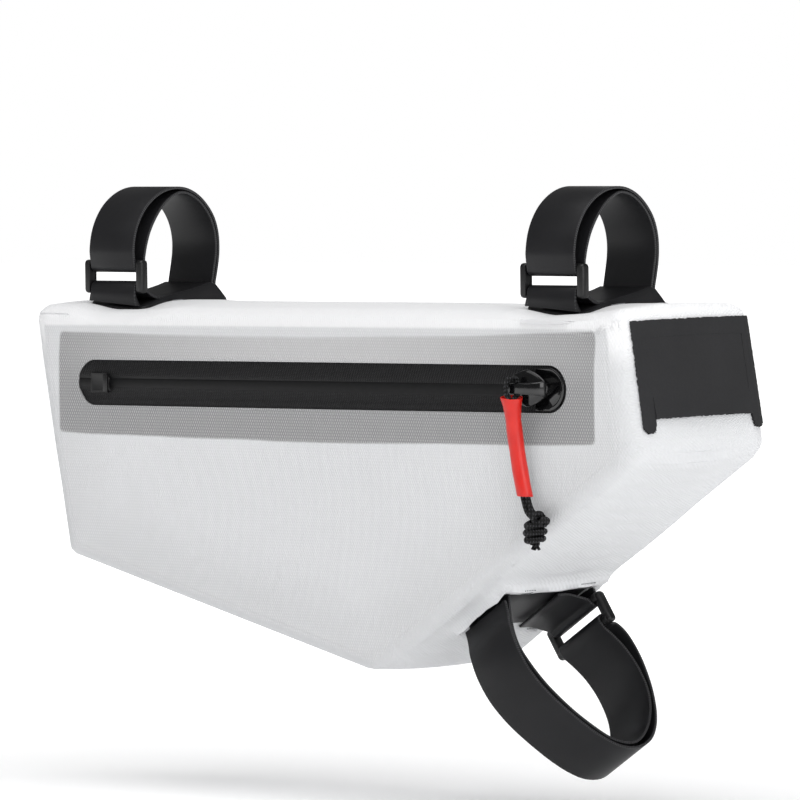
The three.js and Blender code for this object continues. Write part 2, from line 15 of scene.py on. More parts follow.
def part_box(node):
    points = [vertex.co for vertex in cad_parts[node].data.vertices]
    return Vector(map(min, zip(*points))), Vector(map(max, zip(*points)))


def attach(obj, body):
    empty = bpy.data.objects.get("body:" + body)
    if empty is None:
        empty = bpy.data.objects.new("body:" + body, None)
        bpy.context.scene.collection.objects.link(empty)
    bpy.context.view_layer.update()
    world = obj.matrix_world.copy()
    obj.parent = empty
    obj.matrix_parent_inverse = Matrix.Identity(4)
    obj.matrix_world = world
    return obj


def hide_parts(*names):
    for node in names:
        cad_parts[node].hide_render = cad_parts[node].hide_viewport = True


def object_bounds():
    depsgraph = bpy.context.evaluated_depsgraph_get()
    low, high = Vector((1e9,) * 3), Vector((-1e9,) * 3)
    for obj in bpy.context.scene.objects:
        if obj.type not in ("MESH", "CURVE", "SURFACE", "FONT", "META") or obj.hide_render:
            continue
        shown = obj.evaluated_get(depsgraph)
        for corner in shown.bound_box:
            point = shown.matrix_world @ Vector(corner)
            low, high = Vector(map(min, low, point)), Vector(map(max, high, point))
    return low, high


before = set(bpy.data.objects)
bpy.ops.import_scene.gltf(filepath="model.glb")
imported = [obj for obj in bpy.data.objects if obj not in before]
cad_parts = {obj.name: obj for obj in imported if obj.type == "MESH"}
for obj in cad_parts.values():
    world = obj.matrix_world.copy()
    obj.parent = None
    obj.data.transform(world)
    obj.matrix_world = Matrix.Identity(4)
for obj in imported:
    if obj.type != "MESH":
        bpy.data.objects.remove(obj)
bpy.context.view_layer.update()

MM = 0.001
BODY = "root"

# Sizes, in millimetres

HALF_WIDTH = 42.0
CROWN = 1.5  # how far each face of the band swells in its middle
HULL_WALL = 1.2
CLOTH_STEP = 2.6  # spacing of the cuts that give the hull its faces

# The air that fills the hull: the cloth's settings, for how many frames it acts, and how far it may
# move a point.
AIR = {
    "quality": 5,
    "mass": 0.002,
    "tension_stiffness": 15.0,
    "compression_stiffness": 15.0,
    "shear_stiffness": 15.0,
    "bending_stiffness": 0.5,
    "use_pressure": True,
    "uniform_pressure_force": 4.0,
}
AIR_FRAMES = 14
AIR_REACH = 1.8

# The hull's corners in the side plane, from the rear top one round by the front, and their rounding.
CORNERS = [
    {"corner": "rear_top", "x": -154.7, "z": -20.4, "round": 4.5},
    {"corner": "front_top", "x": 167.7, "z": -18.6, "round": 5.0},
    {"corner": "front_low", "x": 177.0, "z": -77.6, "round": 8.0},
    {"corner": "keel", "x": 38.7, "z": -168.6, "round": 8.0},
    {"corner": "rear_low", "x": -135.8, "z": -124.7, "round": 4.5},
]

# The face that follows each corner, and how round its long edges are.
FACES = [
    {"face": "top", "round": 10.0},
    {"face": "front", "round": 10.0},
    {"face": "tube", "round": 6.0},
    {"face": "base", "round": 5.0},
    {"face": "rear", "round": 8.0},
]

ZIP = {"rear": -124.1, "front": 140.1, "low": -61.9, "high": -43.05, "line": -50.5, "climb": 0.0055}

# The grey film behind the side panel: its edges climb to the front and bow down in their middle.
PATCH = {"rear": -135.4, "front": 154.3, "round": 3.5}
PATCH_EDGES = [
    {"edge": "top", "side": 1.0, "z": -30.7, "climb": 0.0114, "bow": 2.3},
    {"edge": "low", "side": -1.0, "z": -73.4, "climb": 0.0040, "bow": 1.5},
]

STRAP_WIDTH = 25.0
STRAP_THICK = 1.05
BAR_RADIUS = 1.9
BAR_LOW, BAR_HIGH = 5.6, 15.6  # of the ring's bars above the hull
BAR_MIDDLE = (BAR_LOW + BAR_HIGH) / 2
RING_SIDE = 3.2
RING_DEPTH = 4.5
RING_FORWARD = 1.1  # of the cheeks' middle before the bars
RING_CLEAR = 0.75  # between the strap and each cheek
GAP = 0.3  # between pieces that lie against each other
WRAP_RADIUS = BAR_RADIUS + GAP + STRAP_THICK / 2  # of the strap's middle round a bar

CORD_DIAMETER = 2.1

# Each strap set stands on the hull. Its loop is two layers of one strap, told as places in a plane
# across the bag: how far across it, with the far side positive, and how far out from the hull. The
# places of its foot have a third number, the foot's width there.
TOP_LOOP = {
    "inner": [
        (20.0, 3.6), (21.0, 8.0), (22.2, 13.5), (23.3, 19.0), (23.4, 25.0), (21.9, 31.0), (18.8, 36.3),
        (13.9, 41.0), (8.0, 44.1), (2.2, 44.9), (-3.2, 43.0), (-8.0, 39.8), (-12.6, 34.9), (-16.3, 29.2),
        (-18.6, 23.4), (-19.8, 18.6),
    ],
    "outer": [
        (-26.0, 18.5), (-26.2, 22.0), (-25.0, 28.4), (-22.2, 34.4), (-17.9, 39.6), (-12.2, 43.6),
        (-6.0, 46.0), (0.4, 46.8), (6.8, 46.0), (12.9, 43.4), (18.2, 39.2), (22.4, 33.8), (24.6, 27.4),
        (25.0, 21.0), (24.4, 15.6), (23.4, 11.0), (22.6, 8.0), (22.2, 5.8),
    ],
    "foot": [
        (-24.6, 0.0, 22.0), (-23.6, 0.4, 28.0), (-21.0, 0.9, 30.6), (-16.0, 1.5, 29.0),
        (-8.0, 2.4, 26.6), (0.0, 3.4, 26.0), (7.6, 4.6, 26.0), (14.5, 6.0, 26.2), (19.2, 7.2, 26.6),
        (21.8, 6.4, 27.0), (24.2, 3.6, 28.4), (26.4, 0.9, 29.6), (28.0, -1.6, 29.0),
    ],
}
TUBE_LOOP = {
    "inner": [
        (-19.8, -0.5), (-23.0, 5.0), (-26.2, 11.5), (-28.8, 20.0), (-28.7, 27.0), (-26.0, 37.0),
        (-22.2, 45.0), (-16.4, 53.8), (-9.2, 61.8), (-2.2, 67.6), (6.4, 70.4), (14.2, 69.2),
        (22.6, 63.8), (29.4, 56.0), (33.2, 47.6), (34.0, 37.6), (32.2, 29.0), (28.8, 22.6),
        (25.8, 18.6),
    ],
    "outer": [
        (31.6, 16.9), (34.2, 17.4), (36.9, 21.0), (38.2, 26.4), (38.4, 33.6), (37.2, 42.0), (34.9, 50.0),
        (31.2, 58.2), (26.4, 64.8), (20.2, 69.8), (11.4, 72.6), (2.6, 71.9), (-4.6, 68.4),
        (-11.4, 62.8), (-18.8, 54.4), (-25.6, 44.6), (-29.8, 34.0), (-30.4, 23.0), (-28.4, 13.6),
        (-26.2, 8.6), (-24.9, 5.0), (-24.2, 2.4),
    ],
    "foot": [
        (-24.0, -1.4, 22.0), (-20.0, 0.1, 24.6), (-10.0, 0.3, 25.0), (0.0, 0.3, 25.0), (12.0, 0.3, 25.0),
        (22.0, 0.3, 25.0), (28.0, -0.2, 24.6), (31.0, -1.6, 22.0),
    ],
}

# Where the sets stand: on which face, where the middle of their foot is in the side plane, where the
# ring is across the bag, how deep the foot draws the cloth in at its near end, and how far the cloth
# pouts round the foot.
SETS = [
    {"name": "rear", "face": "top", "x": -119.15, "z": -20.7, "ring": -22.8, "dip": 2.2, "pout": 0.45},
    {"name": "front", "face": "top", "x": 119.15, "z": -20.7, "ring": -22.8, "dip": 2.2, "pout": 0.45},
    {"name": "tube", "face": "tube", "x": 80.2, "z": -141.3, "ring": 27.7, "dip": 0.0, "pout": 3.5},
]
LOOPS = {"top": TOP_LOOP, "tube": TUBE_LOOP}

# How the middle of the top face sinks below the straight line between its corners.
TOP_SAG = [
    (-154.7, 0.0), (-119.2, -0.5), (-60.0, -0.9), (40.0, -1.0), (119.2, -1.83), (150.0, -0.8),
    (167.7, 0.0),
]


# Modelling by hand


def nothing_selected():
    """Leaves edit mode with nothing selected, so that what comes next acts on its own piece alone."""
    if bpy.context.object and bpy.context.object.mode != "OBJECT":
        bpy.ops.object.mode_set(mode="OBJECT")
    bpy.ops.object.select_all(action="DESELECT")


def alone(piece):
    """Leaves only this piece selected, and makes it active."""
    nothing_selected()
    piece.select_set(True)
    bpy.context.view_layer.objects.active = piece


def primitive(make, name, **settings):
    """Adds a primitive at its size and place, named, with its place in its mesh."""
    nothing_selected()
    make(**settings)
    piece = bpy.context.object
    piece.name = name
    piece.data.name = name
    settle(piece)
    return piece


def settle(piece):
    """Puts the piece's place, turn and size into its mesh."""
    alone(piece)
    bpy.ops.object.transform_apply(location=True, rotation=True, scale=True)


def edit(piece):
    """Opens the piece in edit mode with nothing selected in it."""
    alone(piece)
    bpy.ops.object.mode_set(mode="EDIT")
    bpy.ops.mesh.select_all(action="DESELECT")


def done():
    """Leaves edit mode."""
    bpy.ops.object.mode_set(mode="OBJECT")


def pick(piece, kind, test):
    """In edit mode, selects the vertices, edges or faces that pass the test."""
    bpy.ops.mesh.select_mode(type=kind)
    bpy.ops.mesh.select_all(action="DESELECT")
    mesh = bmesh.from_edit_mesh(piece.data)
    mesh.normal_update()
    parts = {"VERT": mesh.verts, "EDGE": mesh.edges, "FACE": mesh.faces}[kind]
    for part in parts:
        if test(part):
            part.select_set(True)
    bmesh.update_edit_mesh(piece.data)


def finish(piece, kind, **settings):
    """Adds a modifier and applies it."""
    alone(piece)
    modifier = piece.modifiers.new(kind.title(), kind)
    for name, value in settings.items():
        setattr(modifier, name, value)
    bpy.ops.object.modifier_apply(modifier=modifier.name)


def face_out(piece):
    """Merges doubles and turns all faces outwards."""
    edit(piece)
    bpy.ops.mesh.select_all(action="SELECT")
    bpy.ops.mesh.remove_doubles(threshold=0.00002)
    bpy.ops.mesh.normals_make_consistent(inside=False)
    done()


def shade(piece, angle):
    """Shades smooth, except at edges sharper than the angle in degrees."""
    alone(piece)
    bpy.ops.object.shade_smooth_by_angle(angle=math.radians(angle))


def joined(name, *pieces):
    """The pieces as one mesh."""
    alone(pieces[0])
    for piece in pieces[1:]:
        piece.select_set(True)
    bpy.ops.object.join()
    pieces[0].name = name
    pieces[0].data.name = name
    return pieces[0]


def drawn_strip(name, ends, steps):
    """A strip: the edge between two places, extruded step by step. Each step is a move and how many
    times wider the edge then is along each axis."""
    strip = primitive(bpy.ops.mesh.primitive_plane_add, name, size=1 * MM)
    edit(strip)
    pick(strip, "VERT", lambda v: v.co.y > 0)
    bpy.ops.mesh.delete(type="VERT")
    for vertex, place in zip(bmesh.from_edit_mesh(strip.data).verts, ends):
        vertex.co = Vector(place) * MM
    bmesh.update_edit_mesh(strip.data)
    bpy.ops.mesh.select_all(action="SELECT")
    for move, wider in steps:
        bpy.ops.mesh.extrude_region_move(TRANSFORM_OT_translate={"value": Vector(move) * MM})
        bpy.ops.transform.resize(value=wider)
    done()
    return strip


def move_points(piece, shift):
    """Moves each vertex by what shift gives for its place and its normal. Places and moves are
    millimetres."""
    mesh = piece.data
    for vertex in mesh.vertices:
        vertex.co += shift(vertex.co / MM, vertex.normal) * MM
    mesh.update()


def paint_uv(piece, place, name="Weave"):
    """Gives the piece a UV map in metres. Its places come from each corner's vertex and face."""
    layer = piece.data.uv_layers.new(name=name)
    for face in piece.data.polygons:
        for loop in face.loop_indices:
            index = piece.data.loops[loop].vertex_index
            layer.data[loop].uv = place(index, face)


def smoothstep(value, low, high):
    """From 0 at the low limit to 1 at the high one, level at both."""
    share = min(max((value - low) / (high - low), 0.0), 1.0)
    return share * share * (3 - 2 * share)


def hand_over(piece, slot, *nodes):
    """The piece rides on the body and stands for the nodes, which it hides; the slot is not used."""
    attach(piece, BODY)
    if nodes:
        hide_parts(*nodes)
    return piece


# Materials


def linear(hexcode):
    """An sRGB hex colour as linear RGBA."""
    parts = [int(hexcode[i : i + 2], 16) / 255 for i in (1, 3, 5)]
    return [c / 12.92 if c <= 0.04045 else ((c + 0.055) / 1.055) ** 2.4 for c in parts] + [1.0]


def add(tree, kind, inputs=(), out=0, **settings):
    """Adds a shader node and gives one of its outputs. Its inputs come in order, or from a dict by name
    or number. Each is the output that feeds it, a plain value or a colour's hex code."""
    node = tree.nodes.new("ShaderNode" + kind)
    for name, value in settings.items():
        setattr(node, name, value)
    by_key = inputs if isinstance(inputs, dict) else dict(enumerate(inputs))
    for key, value in by_key.items():
        if isinstance(value, bpy.types.NodeSocket):
            tree.links.new(value, node.inputs[key])
        else:
            node.inputs[key].default_value = linear(value) if isinstance(value, str) else value
    return node.outputs[out]


def material(name, constants):
    """A new material, its node tree, and its shader with the constants set on its own sockets."""
    made = bpy.data.materials.new(name)
    made.use_nodes = True
    shader = made.node_tree.nodes["Principled BSDF"]
    for key, value in constants.items():
        shader.inputs[key].default_value = value
    return made, made.node_tree, shader


def surface(tree, shader, colour, height, strength, depth):
    """Feeds the shader its colour, and its relief with a depth in millimetres."""
    tree.links.new(colour, shader.inputs["Base Color"])
    relief = add(tree, "Bump", {"Strength": strength, "Distance": depth * MM, "Height": height})
    tree.links.new(relief, shader.inputs["Normal"])


def wave(tree, value, pitch, shape="COSINE"):
    """A wave along a value in metres, from -1 to 1, with its pitch in millimetres."""
    angle = add(tree, "Math", (value, 2 * math.pi / (pitch * MM)), operation="MULTIPLY")
    return add(tree, "Math", (angle,), operation=shape)


def soft_edge(tree, distance, width):
    """1 inside a line and 0 outside it, over a width in metres; distance is from the line, outwards."""
    limits = {"Value": distance, "From Min": width / 2, "From Max": -width / 2}
    return add(tree, "MapRange", limits, interpolation_type="SMOOTHSTEP")


def film_behind(tree, axes, cloud):
    """Where the grey film lies behind the cloth, and how near its middle lengthwise, both from 0 to 1."""
    centre = (PATCH["rear"] + PATCH["front"]) / 2 * MM
    reach = (PATCH["front"] - PATCH["rear"]) / 2 * MM
    along = add(tree, "Math", (axes[0], centre), operation="SUBTRACT")
    share = add(tree, "Math", (along, reach), operation="DIVIDE")
    squared = add(tree, "Math", (share, share), operation="MULTIPLY")
    middle = add(tree, "Math", (1.0, squared), operation="SUBTRACT")
    either_way = add(tree, "Math", (along,), operation="ABSOLUTE")
    past = add(tree, "Math", (either_way, reach), operation="SUBTRACT")
    for row in PATCH_EDGES:
        edge = add(tree, "Math", (along, row["climb"], row["z"] * MM), operation="MULTIPLY_ADD")
        edge = add(tree, "Math", (middle, -row["bow"] * MM, edge), operation="MULTIPLY_ADD")
        over = add(tree, "Math", (axes[2], edge), operation="SUBTRACT")
        over = add(tree, "Math", (over, row["side"]), operation="MULTIPLY")
        past = add(tree, "Math", (past, over, PATCH["round"] * MM), operation="SMOOTH_MAX")
    # Its edge wanders by up to 1 mm.
    wander = add(tree, "Math", (cloud, 2 * MM, -1 * MM), operation="MULTIPLY_ADD")
    past = add(tree, "Math", (past, wander), operation="ADD")
    from_near = add(tree, "Math", (axes[1], (HALF_WIDTH - 6) * MM), operation="ADD")
    inside, near = soft_edge(tree, past, 1.3 * MM), soft_edge(tree, from_near, 2 * MM)
    return add(tree, "Math", (inside, near), operation="MULTIPLY"), middle


def laminate():
    """White ripstop laminate: woven polyester under a clear matt film, so its dots show faintly. It is
    painted darker near its welds (painted shade) and whiter on its top band and on the film above the
    zip (painted light), and a grey film welded behind it round the zip shines through."""
    gloss = {"Roughness": 0.5, "Specular IOR Level": 0.35}
    made, tree, shader = material("white coated ripstop laminate", gloss)
    place = add(tree, "TexCoord", out="Object")
    axes = add(tree, "SeparateXYZ", (place,)).node.outputs
    uv = add(tree, "SeparateXYZ", (add(tree, "UVMap", uv_map="Weave"),)).node.outputs
    inside_seam = add(tree, "SeparateXYZ", (add(tree, "UVMap", uv_map="Seam"),))
    # Ripstop threads lie about 1.2 mm apart; the finer ones between them don't show at this size.
    dots = add(tree, "Math", (wave(tree, uv[0], 1.2), wave(tree, uv[1], 2.4)), operation="MULTIPLY")
    past_weld = soft_edge(tree, inside_seam, 1.2 * MM)
    before_weld = add(tree, "Math", (1.0, past_weld), operation="SUBTRACT")
    specks = add(tree, "Math", (dots, 0.0), operation="MAXIMUM")
    specks = add(tree, "Math", (specks, before_weld), operation="MULTIPLY")
    cloud = add(tree, "TexNoise", {"Vector": place, "Scale": 14.0, "Detail": 3.0})
    film, middle = film_behind(tree, axes, cloud)
    # The film is painted paler above the zip, most in the middle: painted light, where the face rolls over
    # towards the top.
    above = {"Value": axes[2], "From Min": -56 * MM, "From Max": -40 * MM}
    above = add(tree, "MapRange", above, interpolation_type="SMOOTHSTEP")
    pale = add(tree, "Math", (middle, 0.75, 0.1), operation="MULTIPLY_ADD")
    pale = add(tree, "Math", (above, pale), operation="MULTIPLY")
    grey = add(tree, "Mix", {0: pale, 6: "#8e8e8f", 7: "#c2c2c3"}, 2, data_type="RGBA")
    share = add(tree, "Math", (specks, 0.55), operation="MULTIPLY")
    grey = add(tree, "Mix", {0: share, 6: grey, 7: "#dededf"}, 2, data_type="RGBA")
    # The side panel is painted darker towards its welds, from 34 mm inside them: painted shade, for the
    # light falling off towards its edges.
    weld = {"Value": inside_seam, "From Min": 34 * MM, "From Max": 0.0}
    weld = add(tree, "MapRange", weld, interpolation_type="SMOOTHSTEP")
    from_side = add(tree, "Math", (axes[1], (HALF_WIDTH - 5) * MM), operation="ADD")
    painted_weld_shade = add(tree, "Math", (weld, soft_edge(tree, from_side, 8 * MM)), operation="MULTIPLY")
    painted_weld_shade = add(tree, "Math", (painted_weld_shade, 0.3), operation="MULTIPLY")
    share = add(tree, "Math", (cloud, 0.6, 0.3), operation="MULTIPLY_ADD")
    white = add(tree, "Mix", {0: share, 6: "#cfd0d2", 7: "#e0e1e3"}, 2, data_type="RGBA")
    # Painted shade: this mix darkens the cloth near its welds.
    white = add(tree, "Mix", {0: painted_weld_shade, 6: white, 7: "#bcbdbe"}, 2, data_type="RGBA")
    share = add(tree, "Math", (specks, 0.35), operation="MULTIPLY")
    white = add(tree, "Mix", {0: share, 6: white, 7: "#f6f6f7"}, 2, data_type="RGBA")
    # Past the weld at the top the cloth is painted whiter: painted light on the band as it rolls up towards
    # the lamps.
    high = {"Value": axes[2], "From Min": -46 * MM, "From Max": -30 * MM}
    high = add(tree, "MapRange", high, interpolation_type="SMOOTHSTEP")
    painted_top_light = add(tree, "Math", (past_weld, high), operation="MULTIPLY")
    painted_top_light = add(tree, "Math", (painted_top_light, 0.6), operation="MULTIPLY")
    white = add(tree, "Mix", {0: painted_top_light, 6: white, 7: "#fafafb"}, 2, data_type="RGBA")
    colour = add(tree, "Mix", {0: film, 6: white, 7: grey}, 2, data_type="RGBA")
    # A shallow groove, 1 mm wide, runs along each weld.
    line = add(tree, "Math", (inside_seam, 1.5 * MM), operation="SUBTRACT")
    line = add(tree, "Math", (line,), operation="ABSOLUTE")
    line = add(tree, "Math", (line, 0.5 * MM), operation="SUBTRACT")
    groove = soft_edge(tree, line, 0.6 * MM)
    height = add(tree, "Math", (groove, -1.4, dots), operation="MULTIPLY_ADD")
    surface(tree, shader, colour, height, 0.5, 0.16)
    return made


def strap_cloth():
    """Coated strap: a matt black skin on a woven core, with the core's threads showing at its edges."""
    gloss = {"Roughness": 0.42, "Specular IOR Level": 0.23}
    made, tree, shader = material("coated webbing, matt black", gloss)
    place = add(tree, "TexCoord", out="Object")
    uv = add(tree, "SeparateXYZ", (add(tree, "UVMap", uv_map="Weave"),)).node.outputs
    grain = add(tree, "TexNoise", {"Vector": place, "Scale": 900.0, "Detail": 4.0})
    cloud = add(tree, "TexNoise", {"Vector": place, "Scale": 45.0, "Detail": 2.0})
    # Threads at the edge are drawn 0.9 mm apart, coarser than they are, so that they show.
    thread_tops = add(tree, "Math", (wave(tree, uv[0], 0.9), 0.5, 0.5), operation="MULTIPLY_ADD")
    across = add(tree, "Math", (uv[1],), operation="ABSOLUTE")
    past = add(tree, "Math", (across, (STRAP_WIDTH / 2 - 0.35) * MM), operation="SUBTRACT")
    edge = add(tree, "MapRange", {"Value": past, "From Min": -0.1 * MM, "From Max": 0.2 * MM})
    # What is wider than the strap, a foot's flare, has no such edge.
    on_strap = add(tree, "Math", (past, 0.6 * MM), operation="LESS_THAN")
    edge = add(tree, "Math", (edge, on_strap), operation="MULTIPLY")
    pale = add(tree, "Math", (edge, thread_tops), operation="MULTIPLY")
    skin = add(tree, "Mix", {0: cloud, 6: "#161618", 7: "#222224"}, 2, data_type="RGBA")
    share = add(tree, "Math", (pale, 0.3), operation="MULTIPLY")
    colour = add(tree, "Mix", {0: share, 6: skin, 7: "#6a6a6c"}, 2, data_type="RGBA")
    raised = add(tree, "Math", (pale, 0.8), operation="MULTIPLY")
    height = add(tree, "Math", (grain, 0.6, raised), operation="MULTIPLY_ADD")
    surface(tree, shader, colour, height, 0.3, 0.1)
    return made


def zip_cloth():
    """Coated zip tape: a black film pressed onto twill, so the cords of the twill stand out."""
    gloss = {"Roughness": 0.55, "Specular IOR Level": 0.25}
    made, tree, shader = material("film on black twill tape", gloss)
    place = add(tree, "TexCoord", out="Object")
    axes = add(tree, "SeparateXYZ", (place,)).node.outputs
    # The twill is drawn about 1.2 mm coarse, twice as coarse as it is, so that it shows.
    slant = add(tree, "Math", (axes[2], 0.8, axes[0]), operation="MULTIPLY_ADD")
    twill = add(tree, "Math", (wave(tree, axes[2], 1.15), wave(tree, slant, 1.25)), operation="MULTIPLY")
    twill = add(tree, "Math", (twill, 0.0), operation="MAXIMUM")
    # A smooth band lies over the coil, below the line where the tapes meet.
    low = add(tree, "Math", ((ZIP["line"] - 4.6) * MM, axes[2]), operation="SUBTRACT")
    high = add(tree, "Math", (axes[2], (ZIP["line"] + 0.3) * MM), operation="SUBTRACT")
    smooth = soft_edge(tree, add(tree, "Math", (low, high), operation="MAXIMUM"), 0.4 * MM)
    rough = add(tree, "Math", (1.0, smooth), operation="SUBTRACT")
    height = add(tree, "Math", (twill, rough), operation="MULTIPLY")
    grain = add(tree, "TexNoise", {"Vector": place, "Scale": 700.0, "Detail": 3.0})
    faint = add(tree, "Math", (grain, 0.16), operation="MULTIPLY")
    tint = add(tree, "Math", (height, 0.75, faint), operation="MULTIPLY_ADD")
    colour = add(tree, "Mix", {0: tint, 6: "#040405", 7: "#3a3a3c"}, 2, data_type="RGBA")
    surface(tree, shader, colour, height, 1.0, 0.4)
    return made


def moulded(name, hexcode, roughness, specular, peel_scale):
    """Moulded nylon: a smooth skin with the faint orange peel of its mould."""
    made, tree, shader = material(name, {"Roughness": roughness, "Specular IOR Level": specular})
    place = add(tree, "TexCoord", out="Object")
    peel = add(tree, "TexNoise", {"Vector": place, "Scale": peel_scale, "Detail": 2.0})
    share = add(tree, "Math", (peel, 0.5), operation="MULTIPLY")
    colour = add(tree, "Mix", {0: share, 6: hexcode, 7: "#1c1c1d"}, 2, data_type="RGBA")
    surface(tree, shader, colour, peel, 0.15, 0.1)
    return made


def cover_cloth():
    """Dark grey coated cloth with laser-cut edges: even and matt, with a faint grain."""
    gloss = {"Roughness": 0.75, "Specular IOR Level": 0.25}
    made, tree, shader = material("dark grey coated cloth", gloss)
    place = add(tree, "TexCoord", out="Object")
    grain = add(tree, "TexNoise", {"Vector": place, "Scale": 1200.0, "Detail": 3.0})
    cloud = add(tree, "TexNoise", {"Vector": place, "Scale": 60.0, "Detail": 2.0})
    half_cloud = add(tree, "Math", (cloud, 0.5), operation="MULTIPLY")
    share = add(tree, "Math", (grain, 0.5, half_cloud), operation="MULTIPLY_ADD")
    colour = add(tree, "Mix", {0: share, 6: "#212122", 7: "#2e2e30"}, 2, data_type="RGBA")
    surface(tree, shader, colour, grain, 0.25, 0.1)
    return made


def braid():
    """Braided polyester cord: slanting yarns that cross, each crest painted paler than its valleys, a
    painted highlight.
    """
    gloss = {"Roughness": 0.6, "Specular IOR Level": 0.35}
    made, tree, shader = material("braided black cord", gloss)
    place = add(tree, "TexCoord", out="Object")
    axes = add(tree, "SeparateXYZ", (place,)).node.outputs
    # Real yarns are 0.3 mm wide; they are drawn at 0.8 mm so that they show.
    round_it = add(tree, "Math", (axes[0], axes[1]), operation="ADD")
    slants = [add(tree, "Math", (axes[2], round_it), operation=way) for way in ("ADD", "SUBTRACT")]
    one, two = (wave(tree, slant, 3.1, "SINE") for slant in slants)
    yarns = add(tree, "Math", (one, two), operation="MULTIPLY")
    # Painted highlights: the yarn crests are painted paler, where they would catch the light.
    painted_glints = add(tree, "Math", (yarns, 0.0), operation="MAXIMUM")
    colour = add(tree, "Mix", {0: painted_glints, 6: "#020203", 7: "#3e3e42"}, 2, data_type="RGBA")
    surface(tree, shader, colour, yarns, 1.0, 0.6)
    return made


def red_rubber():
    """Red silicone tube: saturated, satin, a little light passes under its skin."""
    gloss = {"Roughness": 0.38, "Subsurface Weight": 0.08, "Subsurface Radius": (0.002, 0.0005, 0.0004)}
    made, tree, shader = material("red silicone tube", gloss)
    place = add(tree, "TexCoord", out="Object")
    cloud = add(tree, "TexNoise", {"Vector": place, "Scale": 160.0, "Detail": 3.0})
    colour = add(tree, "Mix", {0: cloud, 6: "#c40f08", 7: "#e0281c"}, 2, data_type="RGBA")
    surface(tree, shader, colour, cloud, 0.12, 0.2)
    return made


def grey_film():
    """Grey film behind the zip's side of the hull: smooth and satin, a little cloudy."""
    made, tree, shader = material("grey polyurethane film", {"Roughness": 0.35})
    place = add(tree, "TexCoord", out="Object")
    cloud = add(tree, "TexNoise", {"Vector": place, "Scale": 70.0, "Detail": 3.0})
    colour = add(tree, "Mix", {0: cloud, 6: "#6d6d6f", 7: "#7f7f81"}, 2, data_type="RGBA")
    surface(tree, shader, colour, cloud, 0.1, 0.2)
    return made


def sewing_thread():
    """Grey sewing thread: its twist shows as pale and dark flecks."""
    made, tree, shader = material("grey polyester thread", {"Roughness": 0.7})
    place = add(tree, "TexCoord", out="Object")
    twist = add(tree, "TexNoise", {"Vector": place, "Scale": 2500.0, "Detail": 1.0})
    colour = add(tree, "Mix", {0: twist, 6: "#5c5d60", 7: "#9a9b9e"}, 2, data_type="RGBA")
    tree.links.new(colour, shader.inputs["Base Color"])
    return made


CLOTH = laminate()
STRAP = strap_cloth()
TAPE = zip_cloth()
GLOSS = moulded("glossy black nylon", "#030304", 0.12, 0.6, 300.0)
SATIN = moulded("satin black nylon", "#0d0d0e", 0.38, 0.45, 500.0)
COVER = cover_cloth()
BRAID = braid()
RED = red_rubber()
FILM = grey_film()
THREAD = sewing_thread()


def dress(piece, look):
    """Gives the piece one material."""
    piece.data.materials.clear()
    piece.data.materials.append(look)


# Hull

hull_faces = []
for row, corner, following in zip(FACES, CORNERS, CORNERS[1:] + CORNERS[:1]):
    start, end = (Vector((spot["x"], spot["z"])) for spot in (corner, following))
    along = (end - start).normalized()
    hull_faces.append({"name": row["face"], "start": start, "along": along, "round": row["round"]})
    hull_faces[-1]["out"] = Vector((-along.y, along.x))
face_named = {face["name"]: face for face in hull_faces}


def face_drop(face, y):
    """How far a face of the band lies below its highest line, at a place across the bag."""
    flat = HALF_WIDTH - face["round"]
    past = abs(y) - flat
    if past <= 0:
        return CROWN * (y / flat) ** 2
    return CROWN + face["round"] - math.sqrt(max(face["round"] ** 2 - past**2, 0))


def stand(row):
    """The place of a strap set, and its axes: along the face, across the bag and out of the face."""
    face = face_named[row["face"]]
    away = Vector((face["out"].x, 0, face["out"].y)) if row["face"] == "tube" else Vector((0, 0, 1))
    across = Vector((0, 1, 0))
    return Vector((row["x"], 0, row["z"])), across.cross(away), across, away


def dip(row, x, y):
    """How far a foot draws the cloth in, most at its near front corner."""
    return row["dip"] * smoothstep(x - row["x"], -17, 4) * smoothstep(-y, 3, 24)


def ground(row, x, y):
    """The height of the cloth under a set, from the set's own place, before the foot sinks in."""
    return -dip(row, x, y) - face_drop(face_named[row["face"]], y)


SET_REACH = 14  # how far from a set's face its foot is felt
FOOT_HALF = 13.2  # half of a foot's width, with the roundness of its edge


